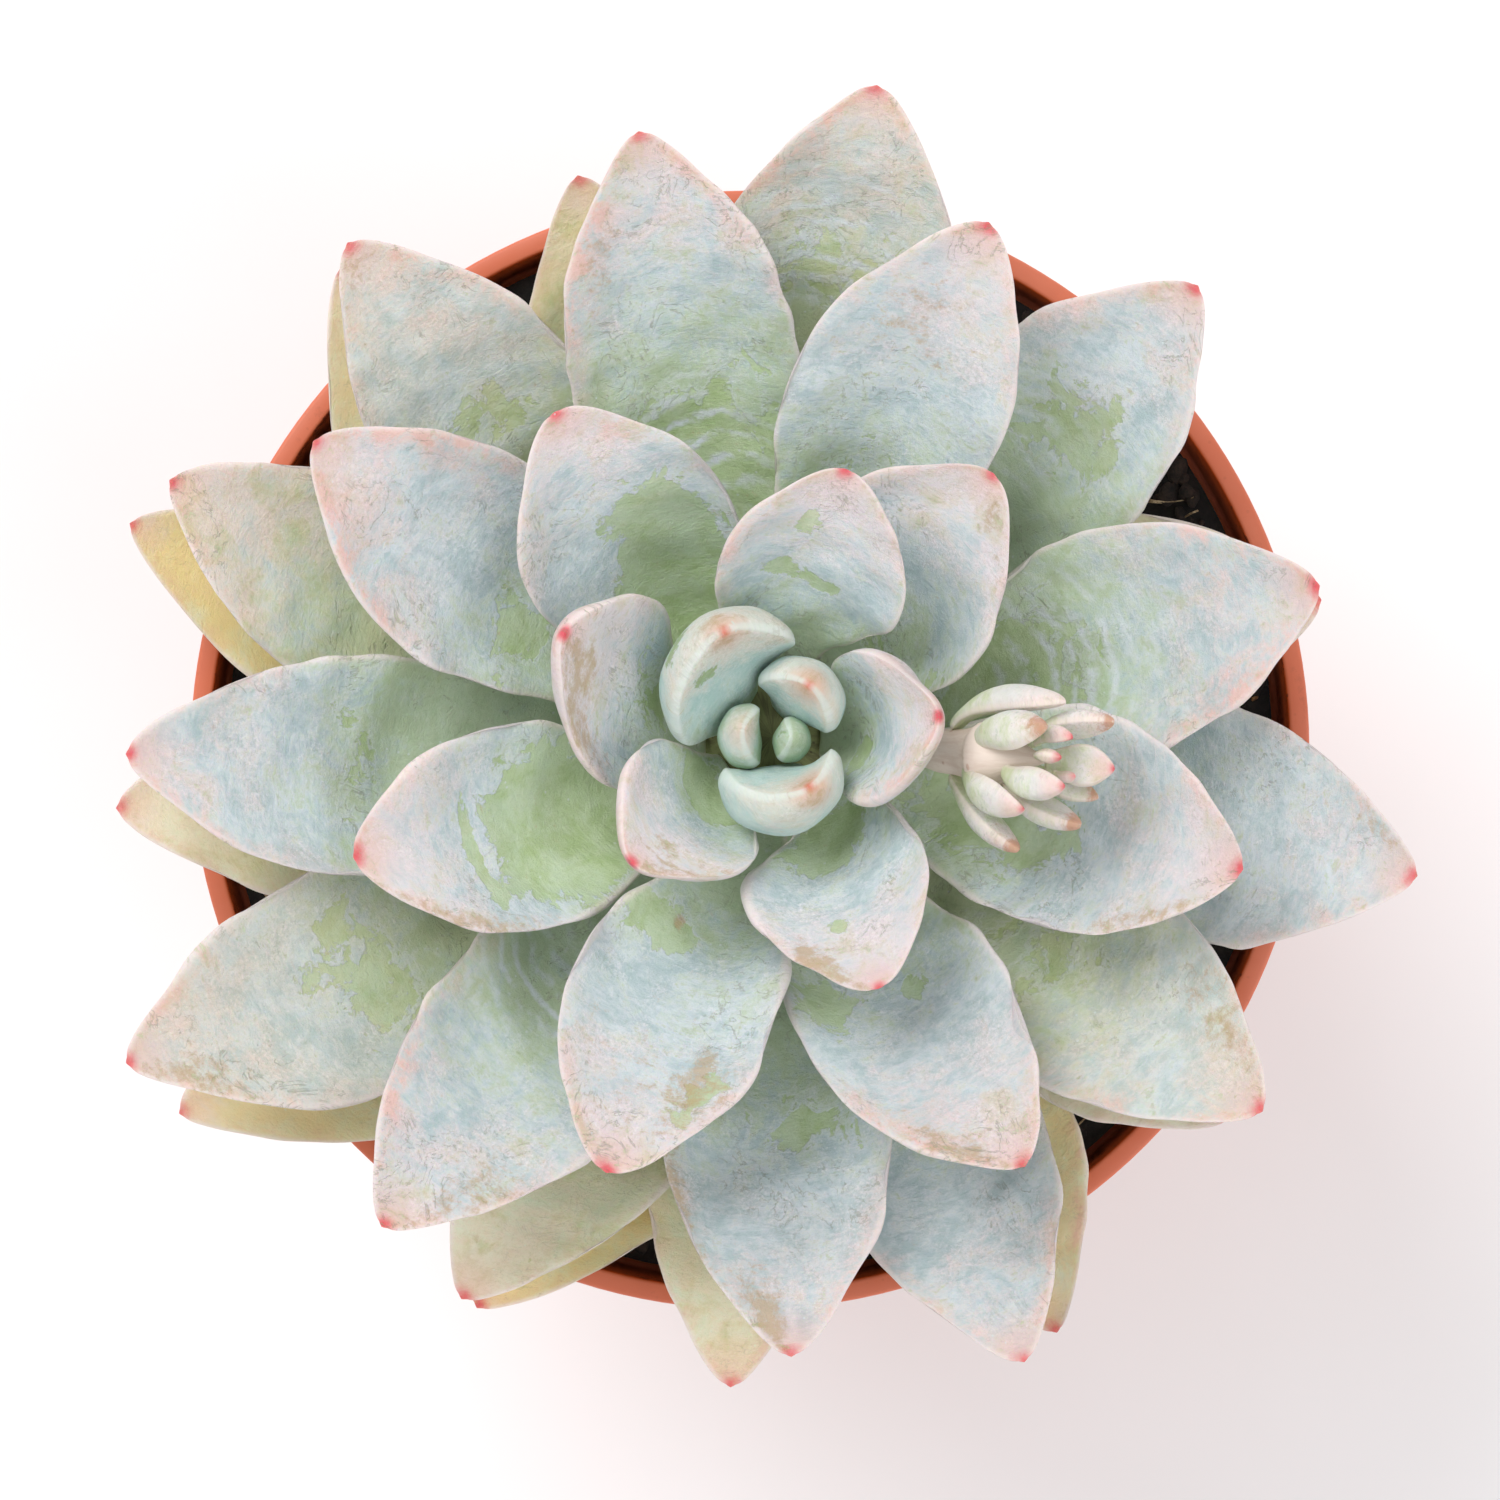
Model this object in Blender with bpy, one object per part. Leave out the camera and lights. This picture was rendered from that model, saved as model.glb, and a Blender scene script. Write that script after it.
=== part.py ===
"""A potted rosette succulent: thick waxy leaves spiralling round a short stem, one side shoot with its
bracts, potting soil and a plastic nursery pot.

Metres, +Z up. The origin is the middle of the pot's underside, which is flat there."""

import math
from dataclasses import dataclass

import bmesh
import bpy
from mathutils import Matrix, Vector
from mathutils.geometry import interpolate_bezier

MM = 0.001
CLEARANCE = 0.3 * MM  # between pieces that touch

# The pot
POT_HEIGHT = 100 * MM
RIM_RADIUS = 60 * MM
RIM_LIP = 2.2 * MM  # width of the flat ring on top
COLLAR_HEIGHT = 13 * MM  # the band under the rim
COLLAR_STEP = 1.3 * MM  # how far the band stands out of the wall below it
BASE_RADIUS = 42 * MM
WALL = 1.5 * MM
BROKEN_EDGE = 0.5 * MM  # how far the corners are broken
FLOOR = 1.6 * MM
PAD_RADIUS = 17 * MM  # flat disc in the middle of the underside
FOOT_WIDTH = 5 * MM  # flat ring round the edge of the underside
CHANNEL_RISE = 2.4 * MM  # the channel between pad and foot, which drains
DRAIN_HOLES = 8
DRAIN_RADIUS = 3.5 * MM
POT_SIDES = 48

# The soil
SOIL_DROP = 8.5 * MM  # from the rim down to the soil
SOIL_MOUND = 0.8 * MM  # how far it rises to the stem
MOUND_RADIUS = 15 * MM
SOIL_SIDES = 48

# The stem
STEM_RADIUS = 7 * MM
STEM_PLACE = Vector((2.3 * MM, 1.4 * MM))  # it grew a little off the pot's axis
STEM_BURIED = 14 * MM
STEM_SIDES = 24
DOME_RINGS = 5
LOWEST_LEAF_RISE = -1.6 * MM  # of the oldest leaf's root above the rim

# The leaves, counted from the youngest
DIVERGENCE = 137.95  # degrees from each leaf to the next one
FIRST_AZIMUTH = 334.5
LEAF_THICKNESS = 5.8 * MM
ROSETTE_REACH = 70 * MM  # the table's reaches are in hundredths of this
OLDEST = 45
YOUNGEST_STEP = 1.5  # leaf spacings from the stem's apex to the youngest leaf
DOME_LEAVES = 13.5  # leaf spacings from the apex to the foot of the stem's dome
TIP_OVER_APEX = 21.0  # of the youngest leaf's tip over the stem's apex, in hundredths of ROSETTE_REACH
TIP_OVER_LOWEST = 11.6  # the same for the oldest leaf's tip over its root
TIP_FALL_POWER = 1.3
LEAF_SIDES = 12
LEAF_RINGS = 10

# How every blade, leaf or bract, is shaped
ROOT_PULL = 0.30  # how far it keeps its first heading, as a share of its length
TIP_PULL = 0.38
ROOT_END = 0.06  # share of the length in which the root's end is rounded
DEEPEST = 0.5  # where it is thickest, as a share of its length
UPPER_SHARE = 0.30  # of the thickness that lies above the spine
KEEL = 0.4  # how much the underside narrows towards its keel
TIP_FULLNESS = 2.5  # a higher power gives fuller shoulders before the tip
SPINE_STEPS = 33


@dataclass(frozen=True)
class LeafRow:
    """What one leaf has of its own: lengths in hundredths of ROSETTE_REACH, and angles in degrees.

    Drift is how far the tip has swung round from the root, and bow how far the middle stands aside."""

    age: int
    drift: float
    reach: float
    width: float
    lift: float = 0.0
    arch: float = 0.0
    bow: float = 0.0
    swung_by: float = 0.55  # share of the length by which it has drifted round
    roll: float = 5.7  # least radius that the blade is rolled to


LEAVES = (
    LeafRow(0, 29, 2.4, 6.4, -9.3, 0, 0, 1.3),
    LeafRow(1, -36, 4.2, 9.4, -7.9, -6, 0, 1.3),
    LeafRow(2, -4, 8.6, 15.2, -3.7, -26, -2, 1.3, 8.6),
    LeafRow(3, 28, 8.6, 21, -3.1, -28, -12, 1.3, 10),
    LeafRow(4, -28, 16, 25.5, 0.6, -26, 1, 1.1, 15.7),
    LeafRow(5, 2, 23.4, 26.5, 1.1, 2),
    LeafRow(6, -5, 26.7, 28, -0.5, 10),
    LeafRow(7, -14, 38.8, 31, 2.6, 10, 1.5),
    LeafRow(8, -18, 38.6, 30, 0, 16, 2),
    LeafRow(9, -22, 32.8, 31.5, 2.7, -20, 1, 1.3),
    LeafRow(10, 15, 48.9, 32.5, -5.4, 12, 2, 0.8),
    LeafRow(11, -8, 66.4, 32.5, 0, 14),
    LeafRow(12, 5, 55.6, 35.5, -1.3, 15, 3),
    LeafRow(13, 3, 69.7, 34.5, -0.9, -5),
    LeafRow(14, -7, 62.3, 33, 0, 18, 4),
    LeafRow(15, 2, 79.7, 34, 0, 8, 2.5),
    LeafRow(16, 13, 71.4, 33, 0, 12, -5),
    LeafRow(17, -2, 78.3, 34, 0, 6, 2.5),
    LeafRow(18, 4, 81.7, 35, -2.1, -5),
    LeafRow(19, -2, 90.3, 35, 0, 4, 1),
    LeafRow(20, 7, 89.3, 35.5, 0, 2, 1),
    LeafRow(21, 5, 89.1, 35, 0, 4),
    LeafRow(22, 2, 93.6, 34, 0, 2, 3),
    LeafRow(23, 5, 90, 35.5, -1.9, -2),
    LeafRow(24, 8, 90, 35.5, 0.7, 0, -1),
    LeafRow(25, 5, 94.7, 34.5, 0, 0, 1.5),
    LeafRow(26, 0, 96.1, 38, 0, 0, 1),
    LeafRow(27, -3, 105.7, 37, 0, 0, 4),
    LeafRow(28, 9, 96.4, 41, 0, 0, 2),
    LeafRow(29, -2, 98.9, 34.5, -1.2),
    LeafRow(30, 1, 96.1, 34, 0, 0, 4),
    LeafRow(31, -4, 83.7, 34, -5.7, 0, 5),
    LeafRow(32, 1, 94.6, 33, 0, 0, 3),
    LeafRow(33, 7, 87.7, 29.5, -1.4, 0, 3),
    LeafRow(34, -4, 88.7, 32, -5.2, 0, -2),
    LeafRow(35, 0, 97.7, 32, 0, 0, 2),
    LeafRow(36, -1, 85.8, 33, -2.9, 0, 3),
    LeafRow(37, -4, 97.1, 31.5, -2.1),
    LeafRow(38, 0, 95.1, 36, -0.5, 0, 7),
    LeafRow(40, -4, 105, 34, 0, 0, 6),
    LeafRow(42, -5, 99.1, 32, 0, 0, 2),
    LeafRow(43, -1, 101.7, 30, 0, 0, 3),
    LeafRow(45, -4, 97, 33, 0, 0, 6),
)

# The side shoot
SHOOT_AZIMUTH = -5.0
SHOOT_RISE = 38.0  # degrees above level, where it carries the bracts
SHOOT_REACH = 28.4 * MM  # from the stem's axis to the shoot's growing point
SHOOT_OVER_APEX = 10.8 * MM  # of the growing point above the stem's apex
SHOOT_STRAIGHT = 12.5 * MM  # the stretch that carries the bracts
SHOOT_ROOT_AGE = 9.2  # it leaves the stem where a leaf of this age would
SHOOT_RADIUS_ROOT = 1.2 * MM
SHOOT_RADIUS_LOW = 1.9 * MM
SHOOT_RADIUS_HIGH = 0.8 * MM
BRACT_THICKNESS = 2.5 * MM
BRACT_SIDES = 8
BRACT_RINGS = 8


@dataclass(frozen=True)
class BractRow:
    """One bract: mm below the growing point, degrees round the shoot and away from it, and its size in mm."""

    below: float
    around: float
    spread: float
    length: float
    width: float
    hood: float = 10.0


BRACTS = (
    BractRow(13.0, -98, 40, 11.0, 3.2),
    BractRow(10.0, -62, 24, 9.0, 5.0),
    BractRow(13.0, 88, 15, 14.0, 3.8),
    BractRow(8.6, 40, 17, 10.0, 4.4),
    BractRow(4.4, 118, 20, 9.8, 3.2),
    BractRow(2.6, 80, 14, 4.6, 1.9),
    BractRow(1.6, 12, 8, 3.2, 1.3),
    BractRow(0.9, -125, 10, 2.6, 1.1),
    BractRow(5.2, -48, 12, 8.0, 3.4),
    BractRow(2.4, 184, 24, 7.0, 4.2),
    BractRow(7.4, -110, 27, 10.5, 3.5),
    BractRow(4.8, -148, 36, 8.0, 2.6),
)


@dataclass(frozen=True)
class Finish:
    """A plain material."""

    colour: tuple[float, float, float]
    roughness: float


FINISHES = {
    "pot": Finish((0.62, 0.13, 0.06), 0.38),
    "soil": Finish((0.012, 0.010, 0.009), 0.95),
    "stem": Finish((0.30, 0.34, 0.14), 0.70),
    "young_leaf": Finish((0.36, 0.55, 0.47), 0.55),
    "leaf": Finish((0.50, 0.64, 0.58), 0.55),
    "old_leaf": Finish((0.66, 0.62, 0.32), 0.55),
    "stalk": Finish((0.70, 0.58, 0.50), 0.60),
    "bract": Finish((0.68, 0.70, 0.62), 0.55),
}
YOUNG_UP_TO = 4
OLD_FROM = 31


def clear_scene() -> None:
    for thing in list(bpy.data.objects):
        bpy.data.objects.remove(thing, do_unlink=True)


def material(name: str) -> bpy.types.Material:
    made = bpy.data.materials.get(name)
    if made:
        return made
    finish = FINISHES[name]
    made = bpy.data.materials.new(name)
    made.use_nodes = True
    shader = made.node_tree.nodes["Principled BSDF"]
    shader.inputs["Base Color"].default_value = (*finish.colour, 1.0)
    shader.inputs["Roughness"].default_value = finish.roughness
    shader.inputs["Metallic"].default_value = 0.0
    return made


def add_object(name: str, bm: bmesh.types.BMesh, finish: str) -> bpy.types.Object:
    """Turns a finished bmesh into a smooth-shaded object of its own."""
    bmesh.ops.recalc_face_normals(bm, faces=bm.faces)
    mesh = bpy.data.meshes.new(name)
    bm.to_mesh(mesh)
    bm.free()
    mesh.shade_smooth()
    mesh.set_sharp_from_angle(angle=math.radians(40))
    mesh.materials.append(material(finish))
    made = bpy.data.objects.new(name, mesh)
    bpy.context.scene.collection.objects.link(made)
    return made


def add_cutter(name: str, bm: bmesh.types.BMesh) -> bpy.types.Object:
    cutter = bpy.data.objects.new(name, bpy.data.meshes.new(name))
    bm.to_mesh(cutter.data)
    bm.free()
    bpy.context.scene.collection.objects.link(cutter)
    cutter.hide_render = True
    cutter.display_type = "WIRE"
    return cutter


def cut(target: bpy.types.Object, cutter: bpy.types.Object) -> None:
    boolean = target.modifiers.new(cutter.name, "BOOLEAN")
    boolean.operation = "DIFFERENCE"
    boolean.solver = "EXACT"
    boolean.object = cutter


def turned(outline: list[tuple[float, float]], sides: int) -> bmesh.types.BMesh:
    """Spins an outline of (radius, height) points, which starts and ends on the axis, into a closed solid."""
    bm = bmesh.new()
    verts = [bm.verts.new((radius, 0.0, height)) for radius, height in outline]
    edges = [bm.edges.new(pair) for pair in zip(verts, verts[1:])]
    bmesh.ops.spin(
        bm, geom=verts + edges, cent=(0, 0, 0), axis=(0, 0, 1), angle=math.tau, steps=sides, use_merge=True,
    )
    bmesh.ops.remove_doubles(bm, verts=bm.verts, dist=0.01 * MM)
    return bm


def wall_radius(height: float) -> float:
    """Outer radius of the pot's tapered wall, ignoring the collar."""
    low, high = BASE_RADIUS, RIM_RADIUS - COLLAR_STEP
    return low + (high - low) * height / POT_HEIGHT


def inner_radius(height: float) -> float:
    """Inner radius of the pot: parallel to the wall, and never inside the rim's lip."""
    return min(wall_radius(height) - WALL, RIM_RADIUS - RIM_LIP)


def build_pot() -> None:
    collar_foot = POT_HEIGHT - COLLAR_HEIGHT
    channel_out = BASE_RADIUS - FOOT_WIDTH
    edge = BROKEN_EDGE
    outline = [
        (0.0, 0.0),
        (PAD_RADIUS, 0.0),
        (PAD_RADIUS + CHANNEL_RISE, CHANNEL_RISE),
        (channel_out - CHANNEL_RISE, CHANNEL_RISE),
        (channel_out, 0.0),
        (BASE_RADIUS - edge, 0.0),
        (wall_radius(edge), edge),
        (wall_radius(collar_foot), collar_foot),
        (RIM_RADIUS - edge, collar_foot + edge),
        (RIM_RADIUS, POT_HEIGHT - edge),
        (RIM_RADIUS - edge, POT_HEIGHT),
        (RIM_RADIUS - RIM_LIP + edge, POT_HEIGHT),
        (RIM_RADIUS - RIM_LIP, POT_HEIGHT - edge),
        (inner_radius(collar_foot), collar_foot),
        (inner_radius(FLOOR + CHANNEL_RISE), FLOOR + CHANNEL_RISE),
        (channel_out - CHANNEL_RISE, FLOOR + CHANNEL_RISE),
        (PAD_RADIUS + CHANNEL_RISE, FLOOR + CHANNEL_RISE),
        (PAD_RADIUS, FLOOR),
        (0.0, FLOOR),
    ]
    pot = add_object("pot", turned(outline, POT_SIDES), "pot")
    holes = bmesh.new()
    middle = (PAD_RADIUS + channel_out) / 2
    for turn in range(DRAIN_HOLES):
        spot = Matrix.Translation((middle, 0, 0))
        place = Matrix.Rotation(math.tau * (turn + 0.5) / DRAIN_HOLES, 4, "Z") @ spot
        bmesh.ops.create_cone(
            holes, cap_ends=True, segments=12, radius1=DRAIN_RADIUS, radius2=DRAIN_RADIUS,
            depth=4 * (FLOOR + CHANNEL_RISE), matrix=place,
        )
    cut(pot, add_cutter("drain_cutter", holes))


def build_soil() -> None:
    """The soil fills the pot, a clearance off its walls, with a socket for the stem."""
    level = POT_HEIGHT - SOIL_DROP
    floor = FLOOR + CHANNEL_RISE + CLEARANCE
    outline = [
        (0.0, floor),
        (inner_radius(floor) - CLEARANCE, floor),
        (inner_radius(level) - CLEARANCE, level),
        (MOUND_RADIUS, level),
        (0.0, level + SOIL_MOUND),
    ]
    soil = add_object("soil", turned(outline, SOIL_SIDES), "soil")
    socket = bmesh.new()
    depth, radius = STEM_BURIED + CLEARANCE, STEM_RADIUS + CLEARANCE
    place = Matrix.Translation((*STEM_PLACE, level))
    bmesh.ops.create_cone(
        socket, cap_ends=True, segments=STEM_SIDES, radius1=radius, radius2=radius,
        depth=2 * depth, matrix=place,
    )
    cut(soil, add_cutter("stem_socket_cutter", socket))


# The stem's side runs up to its shoulder, and a half-round dome closes it. A leaf's place is a count of leaves
# from the apex: they share out the dome evenly, and stand a pitch apart down the side.
LEAF_PITCH = 0.14 * LEAF_THICKNESS  # so that every eighth leaf clears the one above it
SHOULDER = POT_HEIGHT + LOWEST_LEAF_RISE + (OLDEST + YOUNGEST_STEP - DOME_LEAVES) * LEAF_PITCH


def stem_spot(age: float) -> tuple[Vector, float]:
    """The point (radius, height) on the stem's skin and the elevation, in radians, square to it there."""
    from_apex = age + YOUNGEST_STEP
    if from_apex > DOME_LEAVES:
        return Vector((STEM_RADIUS, SHOULDER - (from_apex - DOME_LEAVES) * LEAF_PITCH)), 0.0
    elevation = math.pi / 2 * (1 - from_apex / DOME_LEAVES)
    return Vector((STEM_RADIUS * math.cos(elevation), SHOULDER + STEM_RADIUS * math.sin(elevation))), elevation


def build_stem() -> None:
    foot = POT_HEIGHT - SOIL_DROP - STEM_BURIED
    outline = [(0.0, foot), (STEM_RADIUS, foot)]
    for ring in range(DOME_RINGS + 1):
        elevation = math.pi / 2 * ring / DOME_RINGS
        outline.append((STEM_RADIUS * math.cos(elevation), SHOULDER + STEM_RADIUS * math.sin(elevation)))
    bm = turned(outline, STEM_SIDES)
    bmesh.ops.translate(bm, verts=bm.verts, vec=(*STEM_PLACE, 0.0))
    add_object("stem", bm, "stem")


@dataclass(frozen=True)
class Blade:
    """A leaf or bract set out in the upright plane through the axis that it grows from.

    Points are (distance from the axis, height) and angles are in radians."""

    azimuth: float
    drift: float  # how far the tip has swung round the axis
    root: Vector
    root_rise: float
    tip: Vector
    tip_rise: float
    width: float
    thickness: float
    swung_by: float = 1.0  # share of the length by which it has drifted round
    bow: float = 0.0  # how far its middle stands aside
    root_share: float = 0.34  # width of the root, as a share of the full width
    root_depth: float = 0.52  # thickness of the root, as a share of the full thickness
    widest: float = 0.60  # where the blade is widest, as a share of its length
    cup: float = 0.07  # how far the margins rise, as a share of the width
    least_wrap: float = 4 * MM  # tightest radius that the blade is rolled to


def smooth(share: float) -> float:
    share = min(max(share, 0.0), 1.0)
    return share * share * (3 - 2 * share)


def heading(angle: float) -> Vector:
    return Vector((math.cos(angle), math.sin(angle)))


def spine_of(blade: Blade) -> list[Vector]:
    """Points down the middle of the blade: square to the axis's skin at the root, along tip_rise at the tip."""
    chord = (blade.tip - blade.root).length
    knots = (
        blade.root,
        blade.root + ROOT_PULL * chord * heading(blade.root_rise),
        blade.tip - TIP_PULL * chord * heading(blade.tip_rise),
        blade.tip,
    )
    return [point.to_2d() for point in interpolate_bezier(*(knot.to_3d() for knot in knots), SPINE_STEPS)]


def along_spine(spine: list[Vector], share: float) -> tuple[Vector, Vector]:
    """The point that lies this share of the way along the spine, and the direction there."""
    lengths = [(b - a).length for a, b in zip(spine, spine[1:])]
    left = share * sum(lengths)
    for index, length in enumerate(lengths):
        if left <= length or index == len(lengths) - 1:
            break
        left -= length
    before, after = spine[index], spine[index + 1]
    return before.lerp(after, left / length), (after - before).normalized()


def root_rounding(share: float) -> float:
    return math.sqrt(1 - (1 - min(share / ROOT_END, 1.0)) ** 2)


def half_width(blade: Blade, share: float) -> float:
    swell = blade.root_share + (1 - blade.root_share) * smooth(share / blade.widest)
    past = max(0.0, (share - blade.widest) / (1 - blade.widest))
    return 0.5 * blade.width * swell * root_rounding(share) * (1 - past ** TIP_FULLNESS)


def depth_of(blade: Blade, share: float) -> float:
    swell = blade.root_depth + (1 - blade.root_depth) * smooth(share / DEEPEST)
    past = max(0.0, (share - DEEPEST) / (1 - DEEPEST))
    return blade.thickness * swell * root_rounding(share) * (1 - past ** TIP_FULLNESS) ** 0.75


def blade_point(blade: Blade, spine: list[Vector], share: float, turn: float) -> Vector:
    """A point of the blade's skin. turn runs round the section, from the left margin over the upper face."""
    centre, direction = along_spine(spine, share)
    upward = Vector((-direction.y, direction.x))
    half, depth = half_width(blade, share), depth_of(blade, share)
    across = half * math.cos(turn)
    rise = math.sin(turn)
    face = UPPER_SHARE if rise > 0 else (1 - UPPER_SHARE) * abs(rise) ** KEEL
    lift = face * depth * rise + blade.cup * 2 * half * math.cos(turn) ** 2
    wrap = max(centre.x, blade.least_wrap)
    angle = across / wrap
    out = wrap + upward.x * lift
    radial = centre.x - wrap + out * math.cos(angle)
    place = Vector((radial, out * math.sin(angle), centre.y + upward.y * lift))
    swing = blade.drift * smooth(share / blade.swung_by) + blade.bow * math.sin(math.pi * share)
    place.rotate(Matrix.Rotation(blade.azimuth + swing, 3, "Z"))
    return place


def blade_mesh(blade: Blade, sides: int, rings: int) -> bmesh.types.BMesh:
    """A ball whose poles become the root and the tip."""
    bm = bmesh.new()
    bmesh.ops.create_uvsphere(bm, u_segments=sides, v_segments=rings, radius=1.0)
    spine = spine_of(blade)
    for vert in bm.verts:
        vert.co = blade_point(blade, spine, (1 + vert.co.z) / 2, math.atan2(vert.co.y, vert.co.x))
    return bm


def leaf_blade(row: LeafRow) -> Blade:
    root, square = stem_spot(row.age)
    share = ROSETTE_REACH / 100
    width = row.width * share
    highest = SHOULDER + STEM_RADIUS + TIP_OVER_APEX * share
    lowest = POT_HEIGHT + LOWEST_LEAF_RISE + TIP_OVER_LOWEST * share
    aged = (row.age / OLDEST) ** TIP_FALL_POWER
    tip = Vector((row.reach * share, highest + (lowest - highest) * aged + row.lift * share))
    chord = tip - root
    return Blade(
        azimuth=math.radians(FIRST_AZIMUTH - DIVERGENCE * row.age),
        drift=math.radians(row.drift),
        root=root + CLEARANCE * heading(square),
        root_rise=square,
        tip=tip,
        tip_rise=math.atan2(chord.y, chord.x) - math.radians(row.arch),
        width=width,
        thickness=min(LEAF_THICKNESS, 0.36 * LEAF_THICKNESS + 0.2 * width),
        swung_by=row.swung_by,
        bow=math.radians(row.bow),
        least_wrap=row.roll * share,
    )


def build_leaves() -> None:
    for number, row in enumerate(LEAVES, start=1):
        bm = blade_mesh(leaf_blade(row), LEAF_SIDES, LEAF_RINGS)
        bmesh.ops.translate(bm, verts=bm.verts, vec=(*STEM_PLACE, 0.0))
        finish = "young_leaf" if row.age <= YOUNG_UP_TO else "old_leaf" if row.age >= OLD_FROM else "leaf"
        add_object(f"leaf_{number:02d}", bm, finish)


def shoot_frame() -> Matrix:
    """Places the shoot's own frame: its origin at the growing point, +Z along the shoot, +X towards the sky."""
    azimuth, rise = math.radians(SHOOT_AZIMUTH), math.radians(SHOOT_RISE)
    point = Vector((*STEM_PLACE, SHOULDER + STEM_RADIUS + SHOOT_OVER_APEX))
    point += SHOOT_REACH * Vector((math.cos(azimuth), math.sin(azimuth), 0))
    turn = Matrix.Rotation(azimuth, 4, "Z") @ Matrix.Rotation(math.pi / 2 - rise, 4, "Y")
    return Matrix.Translation(point) @ turn @ Matrix.Rotation(math.pi, 4, "Z")


def shoot_radius(below: float) -> float:
    share = min(below / SHOOT_STRAIGHT, 1.0)
    return SHOOT_RADIUS_HIGH + (SHOOT_RADIUS_LOW - SHOOT_RADIUS_HIGH) * share


def build_stalk() -> None:
    frame = shoot_frame()
    azimuth = math.radians(SHOOT_AZIMUTH)
    outward = Vector((math.cos(azimuth), math.sin(azimuth), 0))
    spot, square = stem_spot(SHOOT_ROOT_AGE)
    start = math.cos(square) * outward + Vector((0, 0, math.sin(square)))
    root = Vector((*STEM_PLACE, spot.y)) + spot.x * outward + CLEARANCE * start
    foot = frame @ Vector((0, 0, -SHOOT_STRAIGHT))
    along = (frame.to_3x3() @ Vector((0, 0, 1))).normalized()
    gap = (foot - root).length
    bend = interpolate_bezier(root, root + 0.4 * gap * start, foot - 0.4 * gap * along, foot, 9)
    steps = 6
    points = []
    for index, spot in enumerate(bend):
        swell = smooth(index / (len(bend) - 1))
        points.append((spot, SHOOT_RADIUS_ROOT + (SHOOT_RADIUS_LOW - SHOOT_RADIUS_ROOT) * swell))
    for step in range(1, steps + 1):
        below = SHOOT_STRAIGHT * (1 - step / steps)
        points.append((frame @ Vector((0, 0, -below)), shoot_radius(below)))
    curve = bpy.data.curves.new("flower_stalk", "CURVE")
    curve.dimensions = "3D"
    curve.bevel_depth = 1.0
    curve.bevel_resolution = 2
    curve.use_fill_caps = True
    spline = curve.splines.new("POLY")
    spline.points.add(len(points) - 1)
    for knot, (spot, radius) in zip(spline.points, points):
        knot.co = (*spot, 1.0)
        knot.radius = radius
    curve.materials.append(material("stalk"))
    bpy.context.scene.collection.objects.link(bpy.data.objects.new("flower_stalk", curve))


def bract_blade(row: BractRow) -> Blade:
    below = row.below * MM
    root = Vector((shoot_radius(below) + CLEARANCE, -below))
    rise = math.radians(90 - row.spread)
    return Blade(
        azimuth=-math.radians(row.around),
        drift=0.0,
        root=root,
        root_rise=math.radians(35),
        tip=root + row.length * MM * heading(rise),
        tip_rise=rise + math.radians(row.hood),
        width=row.width * MM,
        thickness=min(BRACT_THICKNESS, 0.3 * BRACT_THICKNESS + 0.5 * row.width * MM),
        root_share=0.5,
        root_depth=0.45,
        widest=0.55,
        cup=0.05,
        least_wrap=2.2 * MM,
    )


def build_bracts() -> None:
    frame = shoot_frame()
    for number, row in enumerate(BRACTS, start=1):
        bm = blade_mesh(bract_blade(row), BRACT_SIDES, BRACT_RINGS)
        bm.transform(frame)
        add_object(f"bract_{number:02d}", bm, "bract")


clear_scene()
build_pot()
build_soil()
build_stem()
build_leaves()
build_stalk()
build_bracts()
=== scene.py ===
"""A potted rosette succulent: waxy leaves, side shoot, stem, soil and pot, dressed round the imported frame."""

import logging
import math
import random
from collections.abc import Callable
from dataclasses import dataclass, replace
from enum import Enum

import bmesh
import bpy
import numpy as np
from mathutils import Matrix, Vector


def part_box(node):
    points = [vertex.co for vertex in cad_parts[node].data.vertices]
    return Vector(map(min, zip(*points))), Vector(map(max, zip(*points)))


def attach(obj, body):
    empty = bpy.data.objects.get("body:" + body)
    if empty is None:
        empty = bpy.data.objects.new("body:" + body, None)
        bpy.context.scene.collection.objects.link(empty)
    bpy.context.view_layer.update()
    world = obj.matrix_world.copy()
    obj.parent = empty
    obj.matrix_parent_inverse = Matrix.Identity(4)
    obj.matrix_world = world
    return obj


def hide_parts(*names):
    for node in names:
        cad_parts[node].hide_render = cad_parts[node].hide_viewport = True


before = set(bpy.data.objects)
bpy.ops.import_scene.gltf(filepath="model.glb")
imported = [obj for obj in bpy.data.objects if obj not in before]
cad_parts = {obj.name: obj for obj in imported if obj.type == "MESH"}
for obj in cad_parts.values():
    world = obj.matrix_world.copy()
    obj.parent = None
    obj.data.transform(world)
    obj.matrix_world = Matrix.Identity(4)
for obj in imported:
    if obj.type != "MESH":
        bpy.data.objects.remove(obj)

MM = 0.001
UP = Vector((0.0, 0.0, 1.0))
PATTERN_STEP = 3.7  # keeps the patterns of neighbouring blades apart
LOG = logging.getLogger("succulent")
Socket = bpy.types.NodeSocket
Node = bpy.types.Node
Material = bpy.types.Material
Mesh = bpy.types.Mesh
BMesh = bmesh.types.BMesh
Array = np.ndarray
Place = tuple[float, float, float]


class Slot(Enum):
    """The record's material slots."""

    POT = "pot"
    SOIL = "soil"
    STEM = "stem"
    YOUNG_LEAF = "young_leaf"
    LEAF = "leaf"
    OLD_LEAF = "old_leaf"
    STALK = "stalk"
    BRACT = "bract"


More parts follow.
